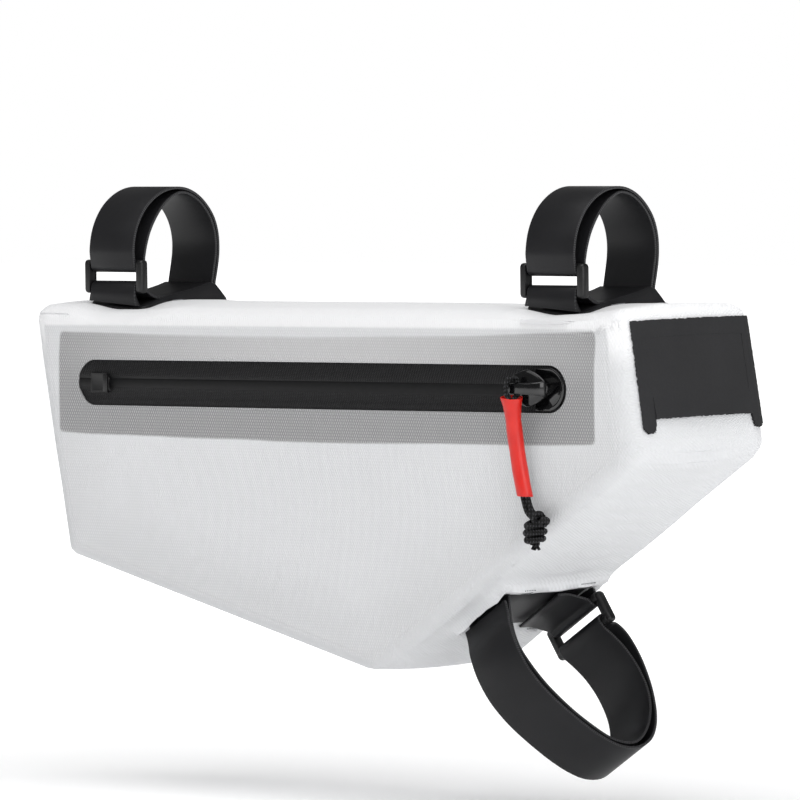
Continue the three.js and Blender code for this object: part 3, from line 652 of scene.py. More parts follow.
def cut_hull():
    """A block cut to the five faces, its edges bevelled by their own roundings, then cut to a fine grid."""
    block = primitive(
        bpy.ops.mesh.primitive_cube_add,
        "hull_cloth",
        size=1,
        location=Vector((10, 0, -90)) * MM,
        scale=Vector((360, 2 * HALF_WIDTH, 170)) * MM,
    )
    edit(block)
    for face in hull_faces:
        point = face["start"] - face["out"] * CROWN
        bpy.ops.mesh.select_all(action="SELECT")
        bpy.ops.mesh.bisect(
            plane_co=Vector((point.x, 0, point.y)) * MM,
            plane_no=(face["out"].x, 0, face["out"].y),
            use_fill=True,
            clear_outer=True,
        )
    done()
    # The edges across the bag are the corners; the long edges take their face's rounding.
    weights = block.data.attributes.new("bevel_weight_edge", "FLOAT", "EDGE")
    widest = max(face["round"] for face in hull_faces)
    for edge in block.data.edges:
        a, b = (block.data.vertices[i].co / MM for i in edge.vertices)
        middle = (a + b) / 2
        if abs(a.y - b.y) > 1:
            rounded = min(CORNERS, key=lambda row: math.hypot(row["x"] - middle.x, row["z"] - middle.z))
        else:
            spot = Vector((middle.x, middle.z))
            rounded = min(hull_faces, key=lambda row: abs((spot - row["start"]).dot(row["out"]) + CROWN))
        weights.data[edge.index].value = rounded["round"] / widest
    finish(block, "BEVEL", limit_method="WEIGHT", width=widest * MM, segments=6, profile=0.5)
    edit(block)
    low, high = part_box("gusset")
    for axis, normal in enumerate(((1, 0, 0), (0, 1, 0), (0, 0, 1))):
        count = int((high[axis] - low[axis]) / (CLOTH_STEP * MM))
        for step in range(1, count + 1):
            point = [0, 0, 0]
            point[axis] = low[axis] + (high[axis] - low[axis]) * (step - 0.47) / count
            # Within 4 mm of the top, a level cut would only graze that almost level face.
            if axis == 2 and point[2] > (CORNERS[0]["z"] - 4) * MM:
                continue
            bpy.ops.mesh.select_all(action="SELECT")
            bpy.ops.mesh.bisect(plane_co=point, plane_no=normal)
    done()
    face_out(block)
    return block


def near_set(row, place, normal):
    """What one strap set does to the cloth round it: it draws the cloth in near the foot's near end,
    the foot sinks in by 0.6 mm, and the cloth pouts in a slightly uneven ridge 3 mm outside it."""
    spot, along, across, away = stand(row)
    local = place - spot
    beside = abs(local.dot(along))
    facing = normal.dot(away)
    if abs(local.dot(away)) > SET_REACH or facing < 0.25:
        return Vector()
    foot = LOOPS[row["face"]]["foot"]
    reach = 1 - smoothstep(beside, 15, 46)
    past = max(beside - FOOT_HALF, foot[0][0] - place.y, place.y - foot[-1][0])
    uneven = 0.95 + 0.1 * math.sin(place.y / 3.1 + beside / 2.4)
    pout = math.exp(-(((past - 3.0) / 2.6) ** 2)) * uneven
    sunk = 0.6 * (1 - smoothstep(past, -2.5, 0.5))
    shift = row["pout"] * pout - sunk - dip(row, place.x, place.y) * reach
    return away * shift * smoothstep(facing, 0.25, 0.8)


def sag(x):
    """The top face's sinking at a place along it."""
    for (start, low), (end, high) in zip(TOP_SAG, TOP_SAG[1:]):
        if x <= end:
            return low + (high - low) * smoothstep(x, start, end)
    return 0.0


def swell(place, normal):
    """What the cloth does between its seams: each face of the band bows out, the side panels fill a
    little and roll over towards the top, and the strap feet draw the cloth in and make it pout."""
    x, y, z = place
    flat = Vector((normal.x, 0, normal.z))
    shift = flat * CROWN * max(0.0, 1 - (y / 36) ** 2) * flat.length
    if abs(normal.y) > 0.6:
        side = math.copysign(1.0, normal.y)
        # The low half of a side fills by 1.1 mm, away from its ends, and has shallow waves.
        low_half = smoothstep(-z, 78, 108) * (1 - smoothstep(-z, 122, 162))
        off_ends = smoothstep(x, -142, -80) * (1 - smoothstep(x, 70, 140))
        shift.y += side * 1.1 * low_half * off_ends
        shift.y -= side * 1.0 * smoothstep(z, -45, -32) * smoothstep(abs(normal.y), 0.6, 0.95)
        shift.y += side * 0.3 * math.sin(x / 27 + z / 41) * smoothstep(-z, 78, 100)
    if normal.z > 0.3:
        # The top sags a little, and its welds leave shallow cross waves.
        waves = 0.1 * math.sin(x / 13 + 0.7) * math.sin(y / 10 + x / 50)
        shift.z += smoothstep(normal.z, 0.3, 0.9) * (sag(x) + waves)
    if normal.x > 0.5 and normal.z < -0.3:
        # So does the weld of the face over the down tube.
        shift += normal * 0.35 * math.sin(x / 12 + y / 9)
    for row in SETS:
        shift += near_set(row, place, normal)
    return shift


def seam_inside(point):
    """How far inside the welds a place lies: across the side panel, or back over the band."""
    spot = Vector((point.x, point.z))
    return min((row["start"] - spot).dot(row["out"]) - CROWN - row["round"] * 0.8 for row in hull_faces)


def is_held(point):
    """Whether the cloth is stiff: within 3 mm of a side's weld, beside the zip's film, near the welds
    of the band, under the cover and round the feet."""
    if abs(point.y) > HALF_WIDTH - 1.5:
        by_film = point.y < 0 and point.z > PATCH_EDGES[1]["z"] - 4
        stiff = seam_inside(point) < 3 or by_film
    else:
        under_cover = point.x > 150
        stiff = abs(point.y) > HALF_WIDTH - 12 or under_cover
    for row in SETS:
        spot, along, across, away = stand(row)
        local = point - spot
        stiff = stiff or (abs(local.dot(along)) < 26 and abs(local.dot(away)) < SET_REACH)
    return stiff


def billow(cloth, points):
    """Air in the bag fills the cloth between its welds: a short simulation, its result kept in the mesh."""
    welds = cloth.vertex_groups.new(name="welds")
    welds.add([index for index, point in enumerate(points) if is_held(point)], 1.0, "REPLACE")
    before = [vertex.co.copy() for vertex in cloth.data.vertices]
    air = cloth.modifiers.new("Air", "CLOTH")
    for name, value in AIR.items():
        setattr(air.settings, name, value)
    air.settings.vertex_group_mass = welds.name
    air.settings.effector_weights.gravity = 0.0
    air.collision_settings.use_collision = False
    air.collision_settings.use_self_collision = False
    air.point_cache.frame_end = AIR_FRAMES
    for step in range(1, AIR_FRAMES + 1):
        bpy.context.scene.frame_set(step)
    alone(cloth)
    bpy.ops.object.modifier_apply(modifier=air.name)
    bpy.context.scene.frame_set(1)
    reach = AIR_REACH * MM
    for vertex, start in zip(cloth.data.vertices, before):
        moved = vertex.co - start
        vertex.co = start + moved * (reach / (reach + moved.length))
    cloth.vertex_groups.clear()


def hull():
    """The hull: one shell of cloth, swollen, given its walls and the zip's window."""
    cloth = cut_hull()
    points = [vertex.co / MM for vertex in cloth.data.vertices]
    move_points(cloth, swell)
    billow(cloth, points)
    shade(cloth, 60)

    def weave(index, face):
        """Threads run along and across each face, from the places that the cloth had when cut."""
        spot = Vector((points[index].x, points[index].z))
        if abs(face.normal.y) > 0.75:
            return spot * MM
        out = Vector((face.normal.x, face.normal.z))
        side = max(hull_faces, key=lambda row: row["out"].dot(out))
        return Vector((spot.dot(side["along"]), points[index].y)) * MM

    def seam(index, face):
        return Vector((seam_inside(points[index]), points[index].y)) * MM

    paint_uv(cloth, weave)
    paint_uv(cloth, seam, "Seam")
    finish(cloth, "SOLIDIFY", thickness=HULL_WALL * MM, offset=-1.0)
    window = stadium("zip_window", 0.0, -HALF_WIDTH - 6, -HALF_WIDTH + 7)
    climb(window)
    finish(cloth, "BOOLEAN", operation="DIFFERENCE", solver="EXACT", object=window)
    bpy.data.objects.remove(window)
    dress(cloth, CLOTH)
    return hand_over(cloth, "hull_fabric", "gusset", "side_panel_near", "side_panel_far")


# Zip


def climb(piece):
    """The zip climbs a little towards the front: each point rises with its place along it."""
    for vertex in piece.data.vertices:
        vertex.co.z += ZIP["climb"] * (vertex.co.x - 8 * MM)


def stadium(name, grow, front, back):
    """A flat bar with round ends, as long and high as the zip's window and a margin."""
    radius = (ZIP["high"] - ZIP["low"]) / 2 + grow
    middle = (ZIP["high"] + ZIP["low"]) / 2
    bar = primitive(
        bpy.ops.mesh.primitive_cylinder_add,
        name,
        vertices=48,
        radius=radius * MM,
        depth=(back - front) * MM,
        location=Vector((0, (front + back) / 2, middle)) * MM,
        rotation=(math.pi / 2, 0, 0),
    )
    reach = (ZIP["front"] - ZIP["rear"]) / 2 + grow - radius
    centre = (ZIP["front"] + ZIP["rear"]) / 2
    edit(bar)
    for side in (-1, 1):
        pick(bar, "VERT", lambda v: v.co.x * side > 1e-6)
        bpy.ops.transform.translate(value=Vector((side * reach, 0, 0)) * MM)
    bpy.ops.mesh.select_all(action="SELECT")
    bpy.ops.transform.translate(value=Vector((centre, 0, 0)) * MM)
    done()
    return bar


# Each tape's section, as places up the zip from its middle line and how far back from the hull's face.
TAPE_SECTIONS = {
    "zip_tape_top_cloth": [
        (0.12, 1.0), (0.12, 0.5), (0.9, 0.25), (2.2, 0.35), (5.0, 0.75), (8.2, 1.0), (8.9, 0.5),
        (9.8, 0.45), (14.0, 0.6),
    ],
    "zip_tape_low_cloth": [
        (-14.0, 0.9), (-9.8, 0.8), (-8.9, 0.9), (-8.0, 1.2), (-5.2, 1.0), (-4.4, 0.6), (-2.6, 0.42),
        (-0.9, 0.5), (-0.12, 0.75), (-0.12, 1.2),
    ],
}


def zip_tape(name, node):
    """A strip along the zip, extruded from its section and cut to the window's round ends."""
    section = TAPE_SECTIONS[name]
    up, back = section[0]
    first = Vector((0, -HALF_WIDTH + back, ZIP["line"] + up))
    ends = [first + Vector((x, 0, 0)) for x in (ZIP["rear"] - 8, ZIP["front"] + 8)]
    moves = [(0, b[1] - a[1], b[0] - a[0]) for a, b in zip(section, section[1:])]
    strip = drawn_strip(name, ends, [(move, (1, 1, 1)) for move in moves])
    finish(strip, "SOLIDIFY", thickness=0.6 * MM, offset=0.0, use_even_offset=True)
    face_out(strip)
    block = stadium("zip_shape", -0.15, -HALF_WIDTH - 6, -HALF_WIDTH + 8)
    finish(strip, "BOOLEAN", operation="INTERSECT", solver="EXACT", object=block)
    bpy.data.objects.remove(block)
    finish(strip, "BEVEL", width=0.12 * MM, segments=2, limit_method="ANGLE", angle_limit=math.radians(50))
    climb(strip)
    shade(strip, 35)
    dress(strip, TAPE)
    return hand_over(strip, "zip_tape", node)


def zip_stop():
    """The moulded block that closes the zip's rear end: a body, a raised collar and the notch in it."""
    x, z = -111.6, ZIP["line"] - 2.0
    base = primitive(
        bpy.ops.mesh.primitive_cube_add,
        "zip_end_block",
        size=1,
        location=Vector((x, -HALF_WIDTH - 0.1, z)) * MM,
        scale=Vector((9.2, 1.5, 8.0)) * MM,
    )
    edit(base)
    pick(base, "FACE", lambda f: f.normal.y < -0.5)
    bpy.ops.mesh.inset(thickness=1.1 * MM, depth=-0.3 * MM)
    done()
    collar = primitive(
        bpy.ops.mesh.primitive_cube_add,
        "zip_end_collar",
        size=1,
        location=Vector((x + 4.0, -HALF_WIDTH - 0.45, z)) * MM,
        scale=Vector((2.6, 2.0, 7.2)) * MM,
    )
    edit(collar)
    pick(collar, "FACE", lambda f: f.normal.x > 0.5)
    bpy.ops.mesh.inset(thickness=0.9 * MM, depth=-1.2 * MM)
    done()
    block = joined("zip_end_block", base, collar)
    finish(block, "BEVEL", width=0.35 * MM, segments=3, limit_method="ANGLE")
    climb(block)
    shade(block, 35)
    dress(block, SATIN)
    return hand_over(block, "zip_plastic", "zip_end_stop")


def zip_dock():
    """The moulded dock at the zip's front end: a plate with a raised rim round its far half."""
    plate = stadium("zip_dock", -0.9, -HALF_WIDTH - 0.55, -HALF_WIDTH + 0.35)
    edit(plate)
    pick(plate, "FACE", lambda f: f.normal.y < -0.9)
    bpy.ops.mesh.inset(thickness=1.1 * MM)
    bpy.ops.mesh.inset(thickness=0.5 * MM, depth=-0.35 * MM)
    bpy.ops.mesh.select_all(action="SELECT")
    bpy.ops.mesh.bisect(
        plane_co=Vector((ZIP["front"] - 15.5, 0, 0)) * MM,
        plane_no=(-1, 0, 0),
        use_fill=True,
        clear_outer=True,
    )
    done()
    finish(plate, "BEVEL", width=0.3 * MM, segments=3, limit_method="ANGLE", angle_limit=math.radians(40))
    climb(plate)
    shade(plate, 35)
    dress(plate, GLOSS)
    return hand_over(plate, "zip_plastic", "zip_garage")


# The slider's middle, and where its plate and its bridge lie on the way out from the hull.
SLIDER = {"x": 123.0, "z": -51.4}
PLATE_FRONT = -46.0
BRIDGE_BACK, BRIDGE_FRONT = -48.9, -50.4
BRIDGE_WIDE = 4.0
CORD_BACK = 4.1  # from the slider's middle back to the cord
CORD_CLEAR = 0.4


def slider():
    """The slider: a shield-shaped plate with a rounded rim, its body below, and the bridge over it that
    holds the cord."""
    x, z = SLIDER["x"], SLIDER["z"]
    plate = primitive(
        bpy.ops.mesh.primitive_circle_add,
        "slider_plate",
        vertices=40,
        radius=1 * MM,
        fill_type="NGON",
        rotation=(math.pi / 2, 0, 0),
    )
    for vertex in plate.data.vertices:
        # Pointed at both ends and full at its waist, longer to the rear.
        angle = math.atan2(vertex.co.z, vertex.co.x)
        reach = 10.6 if abs(angle) < math.pi / 2 else 12.4
        point = abs(math.cos(angle)) ** 1.45 * math.copysign(1, math.cos(angle))
        waist = abs(math.sin(angle)) ** 1.12 * math.copysign(1, math.sin(angle))
        vertex.co = Vector((point * reach - 0.5, 0, waist * 7.3)) * MM
    edit(plate)
    bpy.ops.mesh.select_all(action="SELECT")
    bpy.ops.mesh.extrude_region_move(TRANSFORM_OT_translate={"value": Vector((0, -1.2, 0)) * MM})
    pick(plate, "FACE", lambda f: f.normal.y < -0.9)
    bpy.ops.mesh.inset(thickness=0.9 * MM, depth=0.45 * MM)
    bpy.ops.mesh.inset(thickness=2.0 * MM, depth=0.35 * MM)
    bpy.ops.mesh.select_all(action="SELECT")
    bpy.ops.transform.translate(value=Vector((x, PLATE_FRONT + 2.0, z)) * MM)
    done()
    body = primitive(
        bpy.ops.mesh.primitive_cylinder_add,
        "slider_body",
        vertices=32,
        radius=1,
        depth=1,
        location=Vector((x, PLATE_FRONT + 3.2, z)) * MM,
        rotation=(math.pi / 2, 0, 0),
        scale=Vector((9.4, 4.8, 2.8)) * MM,
    )
    # The bridge: a strap of plastic over the plate, as places forward of the slider's middle and out
    # from the hull, with its width, widest at its front foot.
    out = (BRIDGE_FRONT + BRIDGE_BACK) / 2
    path = [
        (-8.3, PLATE_FRONT + 1.0, 4.0), (-8.3, PLATE_FRONT - 1.6, 4.0), (-7.6, out + 0.7, 4.0),
        (-5.8, out, 4.1), (0.0, out - 0.1, 4.5), (5.0, out + 0.1, 4.8), (7.6, out + 1.1, 5.2),
        (8.9, out + 2.8, 5.8), (9.4, PLATE_FRONT + 0.6, 6.4),
    ]
    rear, foot, wide = path[0]
    ends = [(x + rear, foot, z + side * wide / 2) for side in (-1, 1)]
    steps = [((b[0] - a[0], b[1] - a[1], 0), (1, 1, b[2] / a[2])) for a, b in zip(path, path[1:])]
    bridge = drawn_strip("slider_bridge", ends, steps)
    face_out(bridge)
    finish(bridge, "SOLIDIFY", thickness=1.5 * MM, offset=0.0, use_even_offset=True)
    finish(plate, "BEVEL", width=0.35 * MM, segments=3, limit_method="ANGLE", angle_limit=math.radians(25))
    finish(body, "BEVEL", width=0.5 * MM, segments=3, limit_method="ANGLE", angle_limit=math.radians(40))
    finish(bridge, "BEVEL", width=0.7 * MM, segments=4, limit_method="ANGLE", angle_limit=math.radians(40))
    made = joined("slider_shell", plate, body, bridge)
    face_out(made)
    shade(made, 40)
    dress(made, GLOSS)
    return hand_over(made, "zip_plastic", "zip_slider")


# Pull

# The pull's line: forward of the slider's middle, out from the hull's face, below the slider.
PULL_LINE = [(-4.1, 8.2, 3.2), (-4.6, 6.0, 16.0), (-3.4, 4.9, 29.0), (-0.8, 4.9, 41.0), (2.1, 5.3, 48.0)]


def catmull(points, steps=12):
    """A smooth line through the points."""
    ends = [points[0] * 2 - points[1]] + list(points) + [points[-1] * 2 - points[-2]]
    line = []
    for k in range(1, len(ends) - 2):
        a, b, c, d = ends[k - 1 : k + 3]
        for step in range(steps):
            t = step / steps
            bend, twist = 2 * a - 5 * b + 4 * c - d, 3 * b - a - 3 * c + d
            line.append(0.5 * ((2 * b) + (c - a) * t + bend * t**2 + twist * t**3))
    line.append(ends[-2].copy())
    return line


def at_share(line, share):
    """A place along a line and its direction there."""
    lengths = [(b - a).length for a, b in zip(line, line[1:])]
    left = share * sum(lengths)
    for a, b, length in zip(line, line[1:], lengths):
        if left <= length:
            return a.lerp(b, left / length), (b - a).normalized()
        left -= length
    return line[-1].copy(), (line[-1] - line[-2]).normalized()


pull_line = catmull(
    [Vector((SLIDER["x"] + ahead, -HALF_WIDTH - out, SLIDER["z"] - down)) for ahead, out, down in PULL_LINE]
)


def strand_points(side, pass_y):
    """One strand: from the top of its turn round the bridge, past the bridge and down to the knot."""
    x, z = SLIDER["x"] - CORD_BACK, SLIDER["z"]
    apart = (CORD_DIAMETER + GAP) / 2
    top = z + BRIDGE_WIDE / 2 + 2 * CORD_CLEAR + CORD_DIAMETER / 2
    middle = Vector((x, (BRIDGE_FRONT + BRIDGE_BACK) / 2, top))

    def own(share):
        place, along = at_share(pull_line, share)
        across = Vector((0, -1, 0)).cross(along).normalized()
        return place + across * side * apart

    passing = Vector((x + side * apart, pass_y, z + 1))
    away = Vector((passing.x, passing.y, top)) - middle
    start = own(0.04)
    turn = [middle + away * (GAP / 2 / away.length), middle + away * 0.6, passing]
    below = [Vector((start.x, pass_y, z - 2)), start, own(0.3), own(0.6), own(0.9), own(1.0)]
    return catmull(turn + below, 6)


def cord_curve(name, points, diameter):
    """A round cord along the points, as one open curve."""
    nothing_selected()
    bpy.ops.curve.primitive_nurbs_path_add()
    cord = bpy.context.object
    cord.name = name
    cord.data.name = name
    cord.data.splines.clear()
    spline = cord.data.splines.new("POLY")
    spline.points.add(len(points) - 1)
    for spot, point in zip(spline.points, points):
        spot.co = (*(point * MM), 1)
        spot.radius = 1.0
    cord.data.bevel_depth = diameter / 2 * MM
    cord.data.bevel_resolution = 4
    cord.data.use_fill_caps = True
    return cord


def as_mesh(piece):
    """The curve as a mesh."""
    alone(piece)
    bpy.ops.object.convert(target="MESH")
    return bpy.context.object


def sleeve():
    """The red sleeve: a tube spun into rings along the pull's line, its mouth flared and cut aslant."""
    tube = primitive(
        bpy.ops.mesh.primitive_cylinder_add,
        "red_sleeve",
        vertices=28,
        radius=1 * MM,
        depth=1 * MM,
        end_fill_type="NOTHING",
    )
    rows = 30
    edit(tube)
    for k in range(1, rows):
        bpy.ops.mesh.select_all(action="SELECT")
        bpy.ops.mesh.bisect(plane_co=(0, 0, (0.5 - k / rows) * MM), plane_no=(0, 0, 1))
    done()
    for vertex in tube.data.vertices:
        share = 0.5 - vertex.co.z / MM
        angle = math.atan2(vertex.co.y, vertex.co.x)
        slant = 0.012 * math.cos(angle) * ((1 - share) ** 6 + 2.2 * share**8)
        place, along = at_share(pull_line, min(max(share * 0.86 + slant, 0), 1))
        side = Vector((0, -1, 0)).cross(along).normalized()
        out = side.cross(along)
        flare = 1.5 * max(0.0, 1 - share / 0.26) ** 2
        ripple = 0.08 * math.sin(share * 17 + 2 * angle)
        vertex.co = (
            place
            + side * (3.15 + flare + ripple) * math.cos(angle)
            + out * (3.05 + 0.6 * flare + ripple) * math.sin(angle)
        ) * MM
    face_out(tube)
    finish(tube, "SOLIDIFY", thickness=0.45 * MM, offset=-1.0)
    finish(tube, "BEVEL", width=0.12 * MM, segments=2, limit_method="ANGLE", angle_limit=math.radians(60))
    shade(tube, 50)
    # No red glow on the cloth and the dock behind it.
    tube.visible_diffuse = False
    tube.visible_glossy = False
    dress(tube, RED)
    return hand_over(tube, "sleeve_rubber", "pull_sleeve")


def knot():
    """An overhand knot of both strands: turns round its middle, two tight lobes and short frayed tails."""
    end, along = at_share(pull_line, 1.0)
    middle = end + along * 8.2
    turns = []
    for k in range(73):
        share = k / 72
        angle = 2 * math.pi * 3.1 * share + 0.6
        rise = 4.6 - 8.6 * share
        radius = 2.9 + 0.75 * math.sin(math.pi * share)
        tilt = 1.0 * math.sin(angle + 0.8)
        turns.append(middle + Vector((radius * math.cos(angle), radius * math.sin(angle), rise + tilt)))
    pieces = [as_mesh(cord_curve("knot_turns", turns, 2.6))]
    core = [end] + [middle + Vector(spot) for spot in ((0.3, 0, 4.6), (0, 0.2, 0), (-0.3, 0, -5.4))]
    pieces.append(as_mesh(cord_curve("knot_core", catmull(core, 6), 3.9)))
    for name, spot in (("knot_lobe_high", (2.6, -1.0, 6.4)), ("knot_lobe_side", (5.4, -0.8, 4.2))):
        centre = middle + Vector(spot)
        inward = (middle - centre).normalized()
        over = ((-0.6, 1.3, -0.9), (0.9, 0.6, 0.3), (0.6, -1.0, 0.7), (-0.7, -1.0, -0.2))
        loop = [middle + Vector((0.6, 0.6, 2.8))] + [centre + Vector(spot) for spot in over]
        loop.append(middle + Vector((1.0, -1.8, 1.8)) - inward * 0.3)
        pieces.append(as_mesh(cord_curve(name, catmull(loop, 7), 2.3)))
    rng = random.Random(7)
    for k in range(16):
        angle = 2 * math.pi * k / 16 + rng.uniform(-0.2, 0.2)
        reach = rng.uniform(0.6, 2.2)
        low = rng.uniform(-7.4, -6.4)
        foot = middle + Vector((0.7 * math.cos(angle), 0.6 * math.sin(angle), -4.6))
        tip = middle + Vector((reach * 1.2 * math.cos(angle), reach * 0.8 * math.sin(angle), low))
        strand = [foot, foot.lerp(tip, 0.55) + Vector((0.1, 0, -0.2)), tip]
        pieces.append(as_mesh(cord_curve(f"knot_fray_{k}", catmull(strand, 4), rng.uniform(0.7, 1.0))))
    made = joined("cord_knot", *pieces)
    shade(made, 60)
    dress(made, BRAID)
    return hand_over(made, "cord", "pull_knot")


def pull():
    """Both strands with their sleeve and knot. One passes over the bridge, the other behind it."""
    tube = sleeve()
    tied = knot()
    ways = [
        {"name": "rear", "side": -1, "past": BRIDGE_FRONT},
        {"name": "front", "side": 1, "past": PLATE_FRONT},
    ]
    for way in ways:
        points = strand_points(way["side"], way["past"] - CORD_CLEAR - CORD_DIAMETER / 2)
        cord = cord_curve("pull_strand_" + way["name"], points, CORD_DIAMETER)
        dress(cord, BRAID)
        hand_over(cord, "cord", "pull_cord_" + way["name"])


# Straps


def band(name, path, widths):
    """A flat band along its path, which lies in the plane YZ, with its width at each place of it."""
    y, z = path[0]
    ends = [(side * widths[0] / 2, y, z) for side in (-1, 1)]
    steps = []
    for k in range(1, len(path)):
        move = (0, path[k][0] - path[k - 1][0], path[k][1] - path[k - 1][1])
        steps.append((move, (widths[k] / widths[k - 1], 1, 1)))
    strip = drawn_strip(name, ends, steps)
    run = [0.0]
    for a, b in zip(path, path[1:]):
        run.append(run[-1] + math.hypot(b[0] - a[0], b[1] - a[1]))
    places = [Vector((0, y, z)) * MM for y, z in path]

    def uv(index, face):
        point = strip.data.vertices[index].co
        flat = Vector((0, point.y, point.z))
        k = min(range(len(places)), key=lambda i: (places[i] - flat).length_squared)
        return (run[k] * MM, point.x)

    paint_uv(strip, uv)
    return strip


def thicken(strip):
    """Gives a band the strap's thickness and soft edges."""
    finish(strip, "SOLIDIFY", thickness=STRAP_THICK * MM, offset=0.0, use_even_offset=True)
    finish(strip, "BEVEL", width=0.2 * MM, segments=2, limit_method="ANGLE", angle_limit=math.radians(60))
    shade(strip, 50)
    dress(strip, STRAP)
    return strip


def half_turn(middle, turn, steps=10):
    """Half a turn of a strap round a bar, from the bar's far side, forwards or backwards."""
    places = []
    for k in range(steps + 1):
        angle = turn * math.pi * k / steps
        places.append(
            (middle[0] + WRAP_RADIUS * math.cos(angle), middle[1] + WRAP_RADIUS * math.sin(angle))
        )
    return places


def smooth_line(points, steps=4):
    """The same line, rounded, with more places on it."""
    return [tuple(place) for place in catmull([Vector(point) for point in points], steps)]


def ring(name, bar_y, turned):
    """A moulded ring: two round bars between side cheeks with cut corners, all edges rounded."""
    inside = STRAP_WIDTH + 2 * RING_CLEAR
    pieces = []
    for height in (BAR_LOW, BAR_HIGH):
        bar = primitive(
            bpy.ops.mesh.primitive_cylinder_add,
            name,
            vertices=20,
            radius=BAR_RADIUS * MM,
            depth=(inside + RING_SIDE) * MM,
            location=Vector((0, bar_y, height)) * MM,
            rotation=(0, math.pi / 2, 0),
        )
        pieces.append(bar)
    middle_y = bar_y - turned * RING_FORWARD
    for side in (-1, 1):
        cheek = primitive(
            bpy.ops.mesh.primitive_cube_add,
            name + "_cheek",
            size=1,
            location=Vector((side * (inside + RING_SIDE) / 2, middle_y, BAR_MIDDLE)) * MM,
            scale=Vector((RING_SIDE, RING_DEPTH, BAR_HIGH - BAR_LOW + 2 * BAR_RADIUS)) * MM,
        )

        def is_long(edge):
            return abs(edge.verts[0].co.x - edge.verts[1].co.x) > RING_SIDE * 0.9 * MM

        def is_outer(edge):
            past = side * edge.verts[0].co.x / MM
            return not is_long(edge) and past > inside / 2 + RING_SIDE - 0.1

        edit(cheek)
        pick(cheek, "EDGE", is_long)
        bpy.ops.mesh.bevel(offset=1.7 * MM, segments=4)
        pick(cheek, "EDGE", is_outer)
        bpy.ops.mesh.bevel(offset=1.2 * MM, segments=3)
        done()
        pieces.append(cheek)
    soft = math.radians(35)
    for piece in pieces:
        finish(piece, "BEVEL", width=0.35 * MM, segments=2, limit_method="ANGLE", angle_limit=soft)
    made = joined(name, *pieces)
    shade(made, 35)
    dress(made, SATIN)
    return made


def foot_pad(name, row):
    """The sewn foot: a strip over its profile, drawn down to the cloth all round."""
    profile = LOOPS[row["face"]]["foot"]
    path = [(y, z) for y, z, wide in profile]
    widths = [wide for y, z, wide in profile]
    pad = band(name, path, widths)
    edit(pad)
    bpy.ops.mesh.select_mode(type="FACE")
    for side in (-1, 1):
        bpy.ops.mesh.select_all(action="SELECT")
        bpy.ops.mesh.bisect(plane_co=(side * 0.006, 0, 0), plane_no=(1, 0, 0))
    bpy.ops.mesh.select_all(action="SELECT")
    bpy.ops.mesh.normals_make_consistent(inside=False)
    bpy.ops.mesh.extrude_region_move(TRANSFORM_OT_translate={"value": (0, 0, -0.012)})
    done()
    for vertex in pad.data.vertices:
        x, y = row["x"] + vertex.co.x / MM, vertex.co.y / MM
        if vertex.co.z / MM < -2.5:
            vertex.co.z = (ground(row, x, y) - 0.9) * MM
        else:
            vertex.co.z -= dip(row, x, y) * MM
    face_out(pad)
    finish(pad, "BEVEL", width=0.45 * MM, segments=2, limit_method="ANGLE", angle_limit=math.radians(50))
    shade(pad, 45)
    dress(pad, STRAP)
    return pad


# Where the feet are sewn through the hull: on which set, how far along its face and across the bag.
TACKS = [
    {"set": "tube", "along": 17.4, "across": -6.5, "long": 9.0, "wide": 4.6},
    {"set": "tube", "along": 17.6, "across": 21.0, "long": 9.0, "wide": 4.6},
    {"set": "tube", "along": -17.0, "across": 22.0, "long": 9.0, "wide": 4.2},
    {"set": "tube", "along": -16.5, "across": -14.0, "long": 6.0, "wide": 3.0},
    {"set": "rear", "along": 14.8, "across": -3.0, "long": 5.0, "wide": 2.4},
    {"set": "front", "along": 14.8, "across": -3.0, "long": 6.0, "wide": 2.6},
    {"set": "front", "along": 15.2, "across": 24.0, "long": 5.0, "wide": 2.4},
]


def bar_tack(name, cloth, row):
    """Close zigzag stitches 0.45 mm apart beside a foot, laid on the cloth as it is."""
    spot, along, across, away = stand(next(one for one in SETS if one["name"] == row["set"]))
    turns = int(row["long"] / 0.9)
    stitches = []
    for k in range(turns * 2 + 1):
        side = row["wide"] / 2 * (1 if k % 2 else -1)
        down = row["across"] + row["long"] * (k / (turns * 2) - 0.5)
        shift = along * (row["along"] + side) + across * down
        found, place, normal, index = cloth.closest_point_on_mesh((spot + shift + away * 2) * MM)
        stitches.append(place / MM + normal * 0.12)
    tack = as_mesh(cord_curve(name, stitches, 0.5))
    dress(tack, THREAD)
    return hand_over(tack, "strap")


